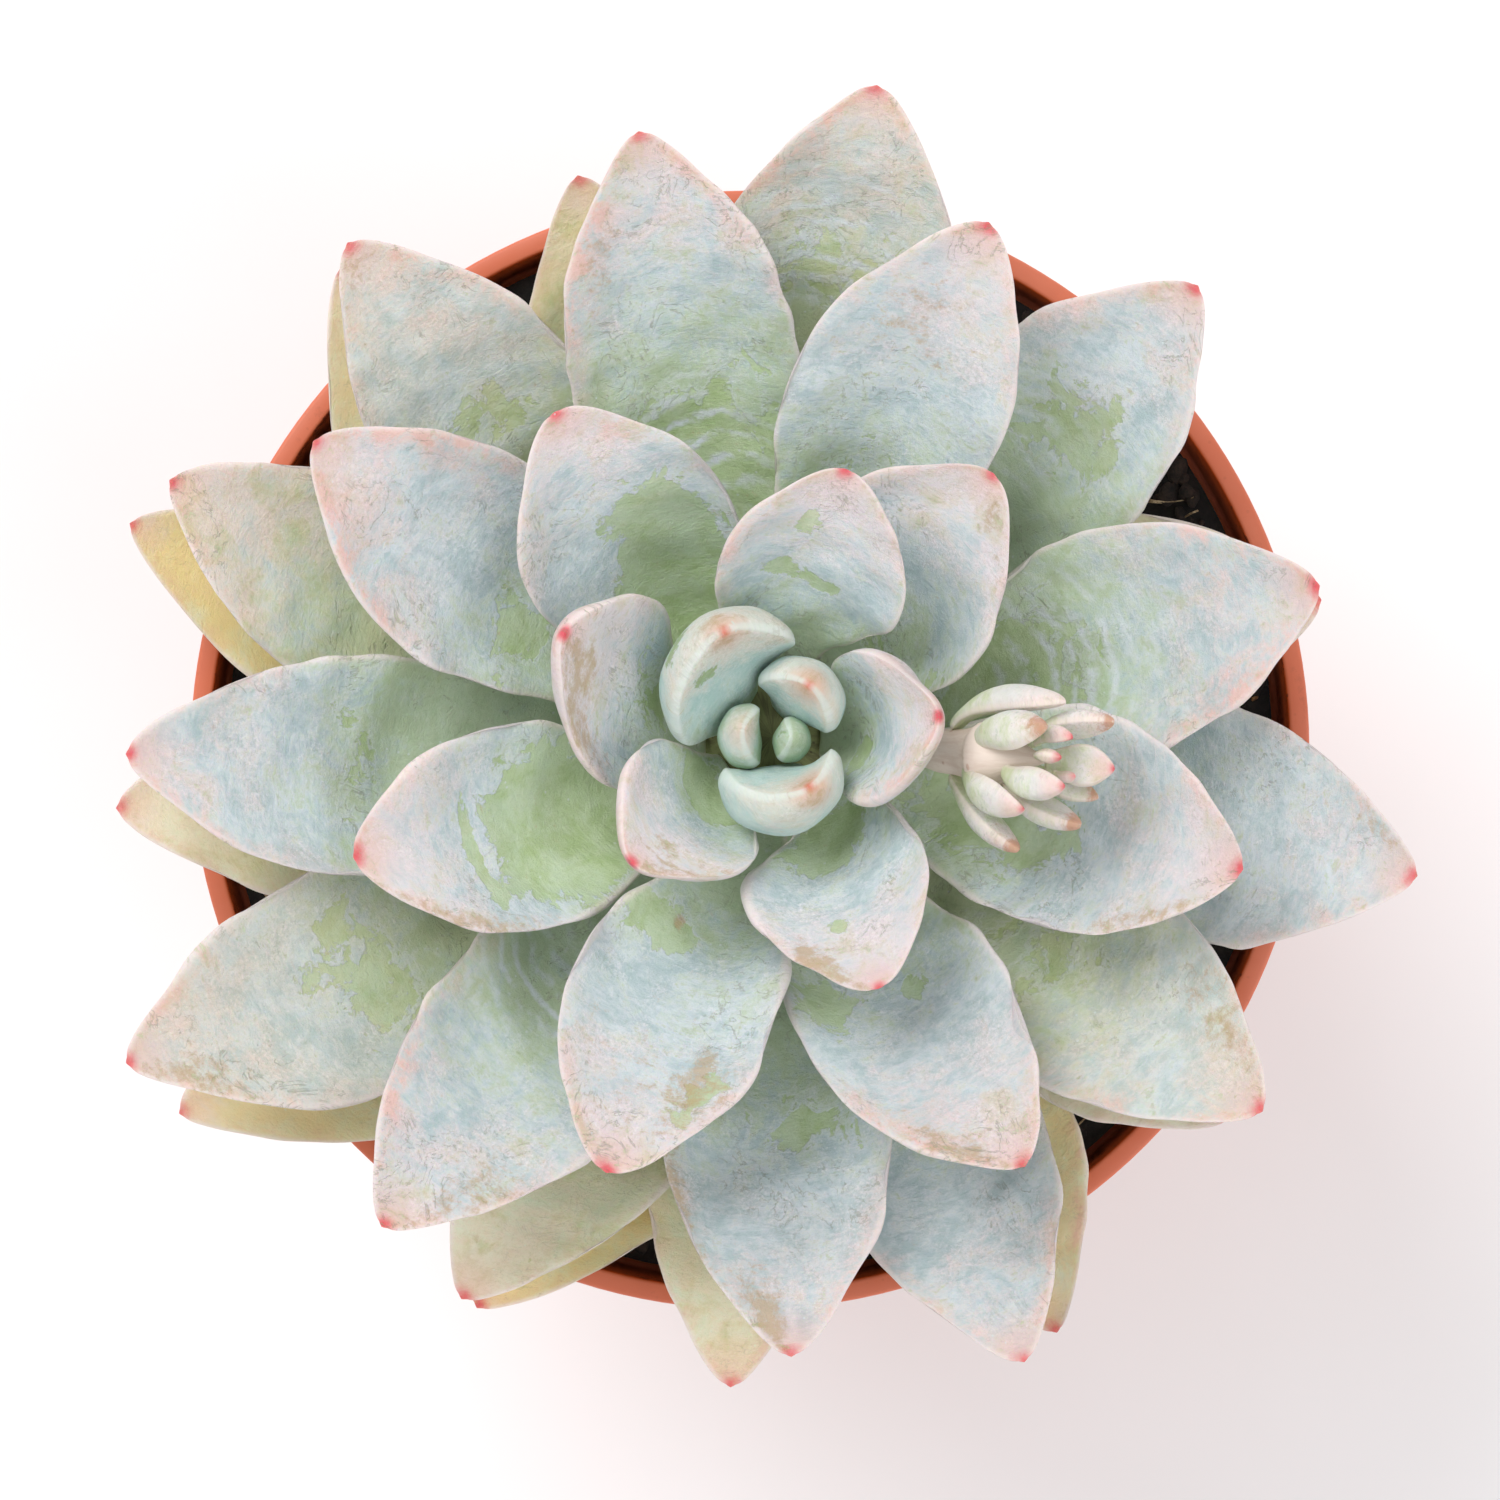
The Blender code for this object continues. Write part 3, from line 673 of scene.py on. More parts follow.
@dataclass
class Cage:
    """The rings of a packed blade, from root pole to tip pole. Each ring starts at the left margin."""

    rows: Array

    @classmethod
    def read(cls, node: str, sides: int, growth: Vector, centre: Vector) -> "Cage":
        """Reads a blade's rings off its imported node.

        Args:
            node: the node's name.
            sides: how many points a ring has.
            growth: the direction that the stem or shoot grows in.
            centre: a point on the stem's or shoot's axis.

        Returns:
            The cage.
        """
        bm = merged_copy(node)
        poles = sorted((v for v in bm.verts if len(v.link_edges) == sides), key=lambda v: v.co.dot(growth))
        rings = cls._walk(poles[0], poles[-1])
        rows = [np.repeat([poles[0].co[:]], sides, axis=0)]
        rows += [np.array([vert.co[:] for vert in ring]) for ring in rings]
        rows.append(np.repeat([poles[-1].co[:]], sides, axis=0))
        bm.free()
        middle = len(rows) // 2
        outward = rows[middle + 1].mean(0) - rows[middle - 1].mean(0)
        rows[middle] = cls._start_left(rows[middle], outward, growth, centre)
        for index in range(middle + 1, len(rows) - 1):
            rows[index] = cls._follow(rows[index], rows[index - 1])
        for index in range(middle - 1, 0, -1):
            rows[index] = cls._follow(rows[index], rows[index + 1])
        return cls(np.array(rows))

    @staticmethod
    def _walk(start: bmesh.types.BMVert, end: bmesh.types.BMVert) -> list[list[bmesh.types.BMVert]]:
        """Gives the rings between two poles, each in order round the blade."""
        seen, rings = {start}, []
        ring = {edge.other_vert(start) for edge in start.link_edges}
        while end not in ring:
            first = min(ring, key=lambda vert: vert.index)
            order = [first]
            while len(order) < len(ring):
                beside = [edge.other_vert(order[-1]) for edge in order[-1].link_edges]
                order.append(next(vert for vert in beside if vert in ring and vert not in order))
            rings.append(order)
            seen |= ring
            ring = {edge.other_vert(vert) for vert in ring for edge in vert.link_edges} - seen
        return rings

    @staticmethod
    def _start_left(ring: Array, outward: Array, growth: Vector, centre: Vector) -> Array:
        """Orders the middle ring from the left margin over the upper face."""
        middle = ring.mean(0)
        arms = ring - middle
        turn = np.cross(arms, np.roll(arms, -1, axis=0)).sum(0) @ outward
        if turn < 0:
            ring, arms = ring[::-1], arms[::-1]
        half = len(ring) // 2
        widths = np.linalg.norm(ring[:half] - ring[half:], axis=1)
        start = int(widths.argmax())
        away = Vector(middle) - centre
        leftward = np.array(growth.cross(away - away.dot(growth) * growth))
        if arms[start] @ leftward < 0:
            start += half
        return np.roll(ring, -start, axis=0)

    @staticmethod
    def _follow(ring: Array, beside: Array) -> Array:
        """Orders a ring as its neighbour is ordered: the order with the shortest ties between them."""
        target = beside - beside.mean(0)
        arms = ring - ring.mean(0)
        scale = np.linalg.norm(target) / np.linalg.norm(arms)
        tries = [(way, shift) for way in (1, -1) for shift in range(len(ring))]
        arms = arms * scale
        cost = [np.linalg.norm(np.roll(arms[::way], shift, axis=0) - target) for way, shift in tries]
        way, shift = tries[int(np.argmin(cost))]
        return np.roll(ring[::way], shift, axis=0)

    def refine(self, rings: int, sides: int) -> Array:
        """Gives a finer grid on the same skin: rings + 1 rows, from pole to pole, of sides points."""
        count = self.rows.shape[1]
        before = np.roll(self.rows[1], count // 2, axis=0)
        padded = np.concatenate([[before], self.rows, [self.rows[-2]]])
        rows = curve_through(padded, np.linspace(0, len(self.rows) - 1, rings + 1))
        around = np.concatenate([rows[:, -1:], rows, rows[:, :2]], axis=1).transpose(1, 0, 2)
        return curve_through(around, np.arange(sides) * count / sides).transpose(1, 0, 2)


def swell(first: Array, second: Array, seed: int, pitch: float) -> Array:
    """Gives a smooth undulation between -1 and 1 over two coordinates, with features about pitch apart."""
    rng = random.Random(seed)
    total = np.zeros_like(first)
    for _ in range(5):
        heading = rng.uniform(0, math.tau)
        step = math.tau / pitch * rng.uniform(0.6, 1.5)
        travel = step * (first * math.cos(heading) + second * math.sin(heading))
        total += np.sin(travel + rng.uniform(0, math.tau))
    return total / 2.6


@dataclass
class Blade:
    """One leaf or bract: a finer skin over its node, with its relief, point and marks."""

    node: str
    cage: Cage
    habit: Habit
    seed: int
    rings: int = 96
    sides: int = 72
    inward: float = 0.6  # share of the ripple by which the skin is drawn in, so that neighbours stay apart
    wave_pitch: float = 14.0  # mm
    fine_pitch: float = 6.0  # mm
    crest_pitch: float = 9.0  # mm
    shoulder: float = 9.0  # mm of the tip that is drawn out
    push: float = 0.62
    point: float = 0.7  # mm of the tip that the mucro takes
    spot: tuple[float, float] = (3.0, 6.0)  # least and greatest length of the red tip, in mm
    grown: float = 12 * MM  # half the width of a full-grown leaf

    def build(self, finish: Material, slot: Slot) -> bpy.types.Object:
        """Makes the piece.

        Args:
            finish: its material.
            slot: its slot in the record.

        Returns:
            The new object.
        """
        bm = ball(self.sides, self.rings)
        bmesh.ops.recalc_face_normals(bm, faces=bm.faces)
        mesh = to_mesh(bm, self.node)
        x, y, z = points_of(mesh).T
        row = np.rint(np.arccos(np.clip(-z, -1, 1)) / math.pi * self.rings).astype(int)
        column = np.rint(np.arctan2(y, x) / math.tau * self.sides).astype(int) % self.sides
        grid, guides = self._shape()
        mesh.vertices.foreach_set("co", grid[row, column].astype(np.float32).ravel())
        mesh.update()
        for name, values in guides.items():
            write_attribute(mesh, name, values[row, column])
        return finish_piece(self.node + "_blade", mesh, finish, slot, self.node)

    def _shape(self) -> tuple[Array, dict[str, Array]]:
        """Gives the skin's points and the attributes that the finish reads, on the grid."""
        habit = self.habit
        grid = self.cage.refine(self.rings, self.sides)
        polar = np.linspace(0, math.pi, self.rings + 1)[:, None] * np.ones(self.sides)
        turn = np.ones((self.rings + 1, 1)) * np.arange(self.sides) * math.tau / self.sides
        along, across, lift = (1 - np.cos(polar)) / 2, np.cos(turn), np.sin(turn)
        left, right = grid[:, 0], grid[:, self.sides // 2]
        half = np.linalg.norm(left - right, axis=1)[:, None] / 2 * np.ones(self.sides)
        spine = (left + right) / 2
        fuller = 1 + habit.plump * (1 - np.abs(2 * along - 1) ** 12)
        grid = spine[:, None] + (grid - spine[:, None]) * fuller[..., None]
        steps = np.linalg.norm(np.diff(spine, axis=0), axis=1)
        run = np.concatenate([[0], np.cumsum(steps)])[:, None] * np.ones(self.sides) / MM
        upper = np.clip(0.5 + lift * 2.5, 0, 1)
        skin_y = across * half / MM
        bowl = np.clip(np.sin(math.pi * along ** 0.9), 0, 1) ** 0.8

        sink = -habit.dish * bowl * np.clip(lift, 0, 1) ** 1.2 * (1 - across ** 2)
        wave = swell(run, skin_y, self.seed, self.wave_pitch)
        wave = wave + 0.35 * swell(run, skin_y, self.seed + 3, self.fine_pitch)
        wave = habit.ripple * (wave - self.inward) * bowl
        grid = grid + self._normals(grid) * ((sink + wave) * MM)[..., None]
        rise = np.cross(spine[2:] - spine[:-2], (left - right)[1:-1])
        rise = -rise / np.linalg.norm(rise, axis=1)[:, None]
        rise = np.concatenate([rise[:1], rise, rise[-1:]])
        curl = np.where(across > 0, habit.curl_left, habit.curl_right) * np.abs(across) ** 3 * bowl ** 2
        crest = habit.ripple * 0.6 * swell(run, skin_y * 0.2, self.seed + 7, self.crest_pitch)
        crest = crest * np.abs(across) ** 6 * bowl
        grid = grid + ((curl + crest) * MM)[..., None] * rise[:, None, :]

        tip = spine[-1]
        outward = tip - spine[-self.rings // 6]
        outward = outward / np.linalg.norm(outward)
        gap = np.linalg.norm(grid - tip, axis=-1) / MM
        shoulder = min(self.shoulder, 0.25 * run.max())
        pushed = self.push * gap * np.clip(1 - gap / shoulder, 0, 1) ** 2
        pushed = pushed + habit.mucro * np.clip(1 - gap / self.point, 0, 1)
        grid = grid + (pushed * MM)[..., None] * outward

        marks = self._marks(along, across, upper, gap, run.max())
        apart = np.full_like(run, self.seed * PATTERN_STEP)
        crown = along + 0.3 * (habit.crown - 1)
        guides = {
            "skin": (run / 10, skin_y / 10, apart),
            "wear": (marks[Mark.BARE], marks[Mark.THIN], marks[Mark.CORK]),
            "tint": (marks[Mark.BLUSH], marks[Mark.RED], marks[Mark.AGED]),
            "place": (self._edge(across, half), crown, marks[Mark.ARCS]),
        }
        return grid, {name: np.stack(values, axis=-1) for name, values in guides.items()}

    def _edge(self, across: Array, half: Array) -> Array:
        """Gives the distance from the margin in mm, as it would be on a blade of a grown leaf's width."""
        return (1 - np.abs(across)) * half / MM * max(1.0, self.grown / half.max())

    @staticmethod
    def _normals(grid: Array) -> Array:
        """Gives the outward direction at each point of a grid."""
        down = np.gradient(grid, axis=0)
        around = np.roll(grid, -1, axis=1) - np.roll(grid, 1, axis=1)
        normal = np.cross(around, down)
        size = np.linalg.norm(normal, axis=-1, keepdims=True)
        normal = normal / np.maximum(size, 1e-12)
        middle = grid.mean(axis=1, keepdims=True)
        if ((grid - middle) * normal).sum() < 0:
            normal = -normal
        return normal

    def _marks(self, along: Array, across: Array, upper: Array, gap: Array,
               length: float) -> dict[Mark, Array]:
        """Lays the blade's marks on the grid, from its general habit and its own patches.

        Args:
            along: share of the length.
            across: share of the half-width, 1 at the left margin.
            upper: 1 on the upper face.
            gap: distance from the tip, in mm.
            length: the blade's length, in mm.

        Returns:
            Each mark's strength on the grid.
        """
        habit = self.habit
        upper = np.maximum(upper, float(habit.both))
        greener = np.clip((habit.green_to - along) / 0.35, 0, 1)
        spot = min(max(self.spot[0], 0.14 * length), self.spot[1])
        marks = {
            Mark.BARE: np.full_like(along, habit.bare) * (0.5 + 0.5 * upper),
            Mark.THIN: habit.thin + habit.green * greener - 0.3 * np.clip((along - 0.55) / 0.3, 0, 1),
            Mark.CORK: np.full_like(along, habit.cork),
            Mark.BLUSH: habit.blush * (0.12 + 1.1 * np.clip((along - 0.6) / 0.35, 0, 1)),
            Mark.RED: habit.red * np.clip(1.2 - gap / spot, 0, 1.2),
            Mark.AGED: np.full_like(along, habit.aged),
            Mark.ARCS: np.zeros_like(along),
        }
        for patch in habit.patches:
            away = np.hypot((along - patch.along) / patch.length, (across - patch.across) / patch.breadth)
            marks[patch.mark] = marks[patch.mark] + patch.strength * np.clip(1.2 - 0.6 * away, 0, 1) * upper
        return marks


# ---------------------------------------------------------------- rosette

LEAF_HABITS = {
    1: Habit(bare=0.3, thin=1.2, blush=0.0, red=0.0, dish=-0.7, ripple=0.04, mucro=0.1, plump=0.1),
    2: Habit(bare=0.1, thin=0.7, blush=0.0, red=0.5, dish=-0.7, ripple=0.04, mucro=0.1, plump=0.1),
    3: Habit(thin=0.05, green_to=0.3, blush=0.1, red=0.92, dish=-1.5, ripple=0.12, mucro=0.1, plump=0.05,
             both=True, patches=(cork(0.97, 0.1, 0.05, 0.6, 0.75),)),
    4: Habit(thin=0.05, green_to=0.3, blush=0.1, red=0.95, dish=-1.3, ripple=0.12, mucro=0.1, plump=0.05,
             both=True, patches=(cork(0.96, 0.1, 0.05, 0.6, 0.8),)),
    5: Habit(thin=0.05, green_to=0.3, blush=0.1, red=0.92, dish=-1.6, ripple=0.15, mucro=0.1, plump=0.03,
             both=True, patches=(cork(0.96, 0.0, 0.05, 0.6, 0.8), bare(0.8, 0.4, 0.05, 0.2, 0.6))),
    6: Habit(crown=1.2, green_to=0.6, dish=0.9, patches=(
        bare(0.37, -0.4, 0.05, 0.3), pink(0.85, -0.8, 0.2, 0.3))),
    7: Habit(crown=1.2, green_to=0.55, dish=0.9, patches=(
        cork(0.9, 0.6, 0.14, 0.6, 0.7), bare(0.24, 0.0, 0.1, 0.8))),
    8: Habit(crown=1.2, green_to=0.55, dish=1.0, patches=(
        bare(0.55, 0.3, 0.04, 0.2, 0.7), bare(0.51, -0.15, 0.03, 0.15, 0.8), bare(0.78, 0.2, 0.05, 0.08, 0.8),
        pink(0.7, 0.9, 0.3, 0.2, 0.6))),
    9: Habit(crown=1.2, green_to=0.5, dish=1.2, patches=(
        bare(0.27, -0.2, 0.12, 0.7, 0.9), bare(0.72, -0.2, 0.03, 0.1), cork(0.88, -0.75, 0.1, 0.25),
        cork(0.79, -0.68, 0.015, 0.05, 1.4))),
    10: Habit(green_to=0.6, dish=-0.6, curl_right=1.2, crown=1.5, patches=(
        cork(0.88, 0.1, 0.12, 0.25), cork(0.8, 0.7, 0.14, 0.2, 0.9), bare(0.35, -0.2, 0.15, 0.4, 0.6))),
    11: Habit(crown=1.2, green_to=0.55, patches=(
        bare(0.3, -0.4, 0.12, 0.5, 0.5), cork(0.88, -0.5, 0.06, 0.3, 0.6))),
    12: Habit(green_to=0.5, patches=(
        bare(0.78, 0.6, 0.08, 0.22, 0.7), cork(0.78, 0.6, 0.08, 0.22, 0.6), cork(0.7, 0.48, 0.05, 0.08, 0.6),
        cork(0.78, -0.2, 0.12, 0.7, 0.35), bare(0.37, -0.5, 0.05, 0.5, 0.9),
        cork(0.345, -0.35, 0.015, 0.05, 1.5))),
    13: Habit(green_to=0.5, curl_left=2.2, patches=(
        bare(0.45, -0.3, 0.2, 0.36, 1.2), bare(0.22, 0.0, 0.16, 0.6), pink(0.87, -0.55, 0.03, 0.13, 1.5))),
    14: Habit(green_to=0.6, patches=(
        bare(0.36, -0.1, 0.18, 0.45, 0.9), cork(0.85, -0.85, 0.08, 0.12, 0.8))),
    15: Habit(green_to=0.66, patches=(
        bare(0.42, 0.1, 0.19, 0.6, 1.2), bare(0.7, 0.1, 0.012, 0.4, 0.7), cork(0.82, 0.9, 0.12, 0.12, 0.9))),
    16: Habit(green_to=0.6, thin=0.15, patches=(
        cork(0.78, 0.2, 0.1, 0.5, 0.4), bare(0.42, -0.2, 0.08, 0.5, 0.4))),
    17: Habit(green_to=0.58, patches=(
        cork(0.9, -0.6, 0.08, 0.3, 0.7), pink(0.86, -0.6, 0.12, 0.4), bare(0.52, 0.2, 0.025, 0.12, 0.8),
        bare(0.48, -0.6, 0.08, 0.3, 0.7))),
    18: Habit(crown=0.7, green_to=0.6, patches=(
        pink(0.86, 0.7, 0.16, 0.5, 1.3), pink(0.84, -0.8, 0.2, 0.3, 1.2), bare(0.42, 0.4, 0.08, 0.4, 0.5))),
    19: Habit(crown=0.7, green_to=0.7, thin=0.3, blush=1.0, patches=(
        pink(0.88, 0.7, 0.15, 0.4), pink(0.84, -0.7, 0.2, 0.3), arcs(0.46, 0.0, 0.14, 0.6),
        bare(0.3, 0.0, 0.18, 0.6, 0.8))),
    20: Habit(crown=0.7, green_to=0.7, thin=0.32, patches=(
        cork(0.88, 0.6, 0.1, 0.35, 0.6), pink(0.85, -0.85, 0.25, 0.2), arcs(0.5, -0.2, 0.1, 0.6))),
    21: Habit(crown=0.7, green_to=0.72, thin=0.35, blush=1.0, patches=(
        pink(0.82, 0.85, 0.15, 0.25, 1.2), cork(0.8, 0.7, 0.08, 0.2, 0.5), arcs(0.42, 0.1, 0.1, 0.5, 1.3),
        bare(0.3, 0.0, 0.17, 0.7, 1.1))),
    22: Habit(crown=0.4, aged=0.22, green_to=0.75, thin=0.3, patches=(
        cork(0.87, 0.6, 0.1, 0.3, 0.6), pink(0.8, -0.7, 0.2, 0.3, 0.7), bare(0.5, 0.0, 0.1, 0.4, 0.5))),
    23: Habit(crown=0.45, green_to=0.75, thin=0.28, patches=(bare(0.62, 0.0, 0.04, 0.5, 0.4),)),
    24: Habit(crown=0.45, green_to=0.78, thin=0.25, patches=(
        bare(0.66, -0.05, 0.08, 0.35, 0.7), arcs(0.6, 0.3, 0.1, 0.4, 0.8))),
    25: Habit(crown=0.45, green_to=0.7, thin=0.2, patches=(
        cork(0.93, -0.4, 0.06, 0.26, 1.1), cork(0.75, -0.95, 0.15, 0.1, 0.8),
        bare(0.58, 0.3, 0.06, 0.4, 0.5))),
    26: Habit(crown=0.4, aged=0.22, green_to=0.75, patches=(
        cork(0.95, 0.2, 0.03, 0.7, 0.5), pink(0.86, -0.6, 0.14, 0.4, 0.7), bare(0.63, 0.0, 0.07, 0.6, 0.5))),
    27: Habit(crown=0.45, green_to=0.68, thin=0.18, patches=(cork(0.93, 0.7, 0.05, 0.25, 0.6),)),
    28: Habit(crown=0.4, aged=0.22, green_to=0.74, patches=(
        cork(0.92, 0.55, 0.05, 0.35, 0.8), bare(0.62, 0.0, 0.07, 0.6, 0.6))),
    29: Habit(crown=0.4, aged=0.22, green_to=0.82, thin=0.35, patches=(
        arcs(0.76, 0.0, 0.1, 0.6), pink(0.93, 0.7, 0.1, 0.4), bare(0.68, 0.0, 0.08, 0.6, 0.5))),
    30: Habit(crown=0.45, green_to=0.7),
    31: Habit(green_to=0.85, thin=0.35, aged=0.3),
    32: Habit(aged=0.45),
    33: Habit(aged=0.35, thin=0.4),
    34: Habit(aged=0.6, thin=0.6),
    35: Habit(aged=0.35),
    36: Habit(aged=0.5, thin=0.4),
    37: Habit(aged=0.5),
    38: Habit(aged=0.5, thin=0.4),
    39: Habit(aged=0.8),
    40: Habit(aged=0.9),
    41: Habit(aged=0.9, blush=1.3),
    42: Habit(aged=1.1),
    43: Habit(aged=1.1, cork=0.2),
}
BRACT_HABIT = Habit(bare=0.0, thin=0.3, green_to=0.5, green=0.6, blush=0.6, red=0.0, dish=0.0, ripple=0.06,
                    curl_left=0.0, curl_right=0.0, mucro=0.0, plump=0.1, both=True)


@dataclass
class Rosette:
    """The leaves round the stem, numbered from the youngest."""

    young: int = 5  # leaves up to this one have the young finish
    mature: int = 31
    sides: int = 12

    def finishes(self) -> dict[Slot, Material]:
        """Gives the materials of young, full-grown and old leaves."""
        return {
            Slot.YOUNG_LEAF: BladeFinish(
                "young_leaf_wax", bloom="A9CBC4", bloom_pale="CFE1DC", crown="DDDDD1", margin="DCE6DF",
                flesh="9DBC86", flesh_deep="87A65F", tip="DC6A50", blush="DF9F82",
                marks=0.5, fine=0.3, grain=0.35,
            ).build(),
            Slot.LEAF: BladeFinish("leaf_wax").build(),
            Slot.OLD_LEAF: BladeFinish(
                "old_leaf_wax", bloom="DDE7CC", bloom_pale="EFF2E0", crown="F3F1E4",
                flesh="CCDD9A", flesh_deep="B6CC7C", aged="F7E39C", marks=0.3, fine=0.3, grain=0.35,
            ).build(),
        }

    def slot_of(self, number: int) -> Slot:
        """Says which finish a leaf wears."""
        if number <= self.young:
            return Slot.YOUNG_LEAF
        return Slot.LEAF if number <= self.mature else Slot.OLD_LEAF

    def build(self, axis: Vector) -> None:
        """Builds every leaf.

        Args:
            axis: a point on the stem's axis.
        """
        finishes = self.finishes()
        names = sorted(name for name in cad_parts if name.startswith("leaf_"))
        for name in names:
            number = int(name[-2:])
            slot = self.slot_of(number)
            habit = LEAF_HABITS.get(number, Habit())
            cage = Cage.read(name, self.sides, UP, axis)
            Blade(name, cage, habit, seed=number).build(finishes[slot], slot)


# ---------------------------------------------------------------- side shoot


@dataclass
class SideShoot:
    """The flower stalk that leans out of the rosette, with its bracts."""

    bract_sides: int = 8
    stalk_sides: int = 28
    stalk_rings: int = 90
    seed: int = 60
    taper: float = 0.3  # share by which the stalk's end is thinner than its node
    end_ring: float = 2.2 * MM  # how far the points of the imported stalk's end lie from its topmost one
    corky: tuple[int, ...] = (1, 4, 5, 11, 12)  # bracts with tan tips
    rosy: tuple[int, ...] = (2, 6, 7, 8, 9, 10)  # bracts with pink or red tips

    def build(self) -> None:
        """Builds the stalk, then the bracts round it."""
        centres, radii = self._centreline()
        self._stalk(centres, radii)
        growth = Vector(centres[-1] - centres[-6]).normalized()
        finish = BladeFinish(
            "bract_wax", bloom="E2E2DC", bloom_pale="F4EFEC", crown="F3E3DE", margin="F3E6DA",
            flesh="CFDDA2", flesh_deep="B7CB80", blush="EFBDB4", cork="C48258", marks=0.3, fine=0.4,
        ).build()
        for name in sorted(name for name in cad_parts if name.startswith("bract_")):
            number = int(name[-2:])
            patches = (cork(0.95, 0.0, 0.09, 2.0, 1.1),) if number in self.corky else ()
            habit = replace(BRACT_HABIT, patches=patches, red=0.95 if number in self.rosy else 0.4)
            cage = Cage.read(name, self.bract_sides, growth, Vector(centres[-1]))
            Blade(name, cage, habit, seed=self.seed + number, rings=48, sides=40).build(finish, Slot.BRACT)

    def _centreline(self) -> tuple[Array, Array]:
        """Reads the stalk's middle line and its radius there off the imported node."""
        bm = merged_copy("flower_stalk")
        top = max(bm.verts, key=lambda vert: vert.co.x + vert.co.z)
        beside = {top} | {edge.other_vert(top) for edge in top.link_edges}
        layer = {vert for vert in beside if (vert.co - top.co).length < self.end_ring}
        seen, centres, radii = set(), [], []
        while layer:
            spots = np.array([vert.co[:] for vert in layer])
            centres.append(spots.mean(0))
            radii.append(np.linalg.norm(spots - spots.mean(0), axis=1).mean())
            seen |= layer
            layer = {edge.other_vert(vert) for vert in layer for edge in vert.link_edges} - seen
        bm.free()
        return np.array(centres[::-1]), np.array(radii[::-1])

    def _stalk(self, centres: Array, radii: Array) -> None:
        """Builds the stalk as a ball drawn out along the middle line."""
        bm = ball(self.stalk_sides, self.stalk_rings)
        padded = np.concatenate([[2 * centres[0] - centres[1]], centres, [2 * centres[-1] - centres[-2]]])
        sizes = np.concatenate([[radii[0]], radii, [radii[-1]]])[:, None]
        skin = []
        for vert in bm.verts:
            share = (1 + vert.co.z) / 2
            at = np.array([share * (len(centres) - 1)])
            spot = Vector(curve_through(padded, at)[0])
            ahead = Vector(curve_through(padded, np.minimum(at + 0.2, len(centres) - 1))[0])
            behind = Vector(curve_through(padded, np.maximum(at - 0.2, 0))[0])
            way = (ahead - behind).normalized()
            side = way.cross(UP).normalized()
            over = side.cross(way)
            closed = min(1.0, 3 * math.sqrt(max(share * (1 - share), 0.0)) + 0.02)
            size = float(curve_through(sizes, at)[0, 0]) * closed
            angle = math.atan2(vert.co.y, vert.co.x)
            knobs = 0.05 * math.sin(40 * share) + 0.03 * math.sin(3 * angle)
            size *= 1 + knobs - self.taper * max(0.0, share - 0.7) / 0.3
            vert.co = spot + size * (math.cos(angle) * side + math.sin(angle) * over)
            skin.append((share * 3.5, math.cos(angle) * 0.2, math.sin(angle) * 0.2))
        mesh = to_mesh(bm, "flower_stalk_skin")
        write_attribute(mesh, "skin", np.array(skin))
        finish = StalkFinish("stalk_skin", "E6D6C9", "D8C3B4", "B98F78", 0.55).build()
        finish_piece("flower_stalk_skin", mesh, finish, Slot.STALK, "flower_stalk")


# ---------------------------------------------------------------- stem, soil and pot


@dataclass
class Stem:
    """The short woody stem, knobbly with the scars of fallen leaves."""

    sides: int = 72
    rings: int = 90
    divergence: float = 137.95
    scar_pitch: float = 0.9  # mm of stem for each scar

    def axis(self) -> Vector:
        """Gives a point on the stem's axis, at its foot."""
        low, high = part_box("stem")
        return Vector(((low.x + high.x) / 2, (low.y + high.y) / 2, low.z))

    def build(self) -> None:
        """Builds the stem as a column with a half-round top."""
        low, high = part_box("stem")
        radius, foot = (high.x - low.x) / 2, self.axis()
        straight = high.z - radius - low.z
        bm = ball(self.sides, self.rings)
        skin = []
        for vert in bm.verts:
            share = (1 + vert.co.z) / 2
            angle = math.atan2(vert.co.y, vert.co.x)
            run = share * (straight + radius * math.pi / 2)
            if run <= straight:
                out, height = radius * min(1.0, run / (0.5 * MM) + 0.02), run
            else:
                rise = (run - straight) / radius
                out, height = radius * math.cos(rise), straight + radius * math.sin(rise)
            out *= 1 + 0.05 * self._scar(angle, run / MM)
            vert.co = foot + Vector((out * math.cos(angle), out * math.sin(angle), height))
            skin.append((run / MM / 10, math.cos(angle) * 0.7, math.sin(angle) * 0.7))
        mesh = to_mesh(bm, "stem_bark")
        write_attribute(mesh, "skin", np.array(skin))
        finish = StalkFinish("stem_bark", "8C9060", "6E6A48", "4E4030", 0.75).build()
        finish_piece("stem_bark", mesh, finish, Slot.STEM, "stem")

    def _scar(self, angle: float, run: float) -> float:
        """Gives the height of the scar relief: a ridge between scars and a hollow in each."""
        nearest = 9.0
        middle = round(run / self.scar_pitch)
        for index in range(middle - 8, middle + 9):
            turn = (angle + math.radians(self.divergence) * index) % math.tau
            turn = min(turn, math.tau - turn)
            gap = math.hypot(turn * 7 / 3.2, (run - index * self.scar_pitch) / 1.9)
            nearest = min(nearest, gap)
        return min(nearest, 1.0) - 0.8


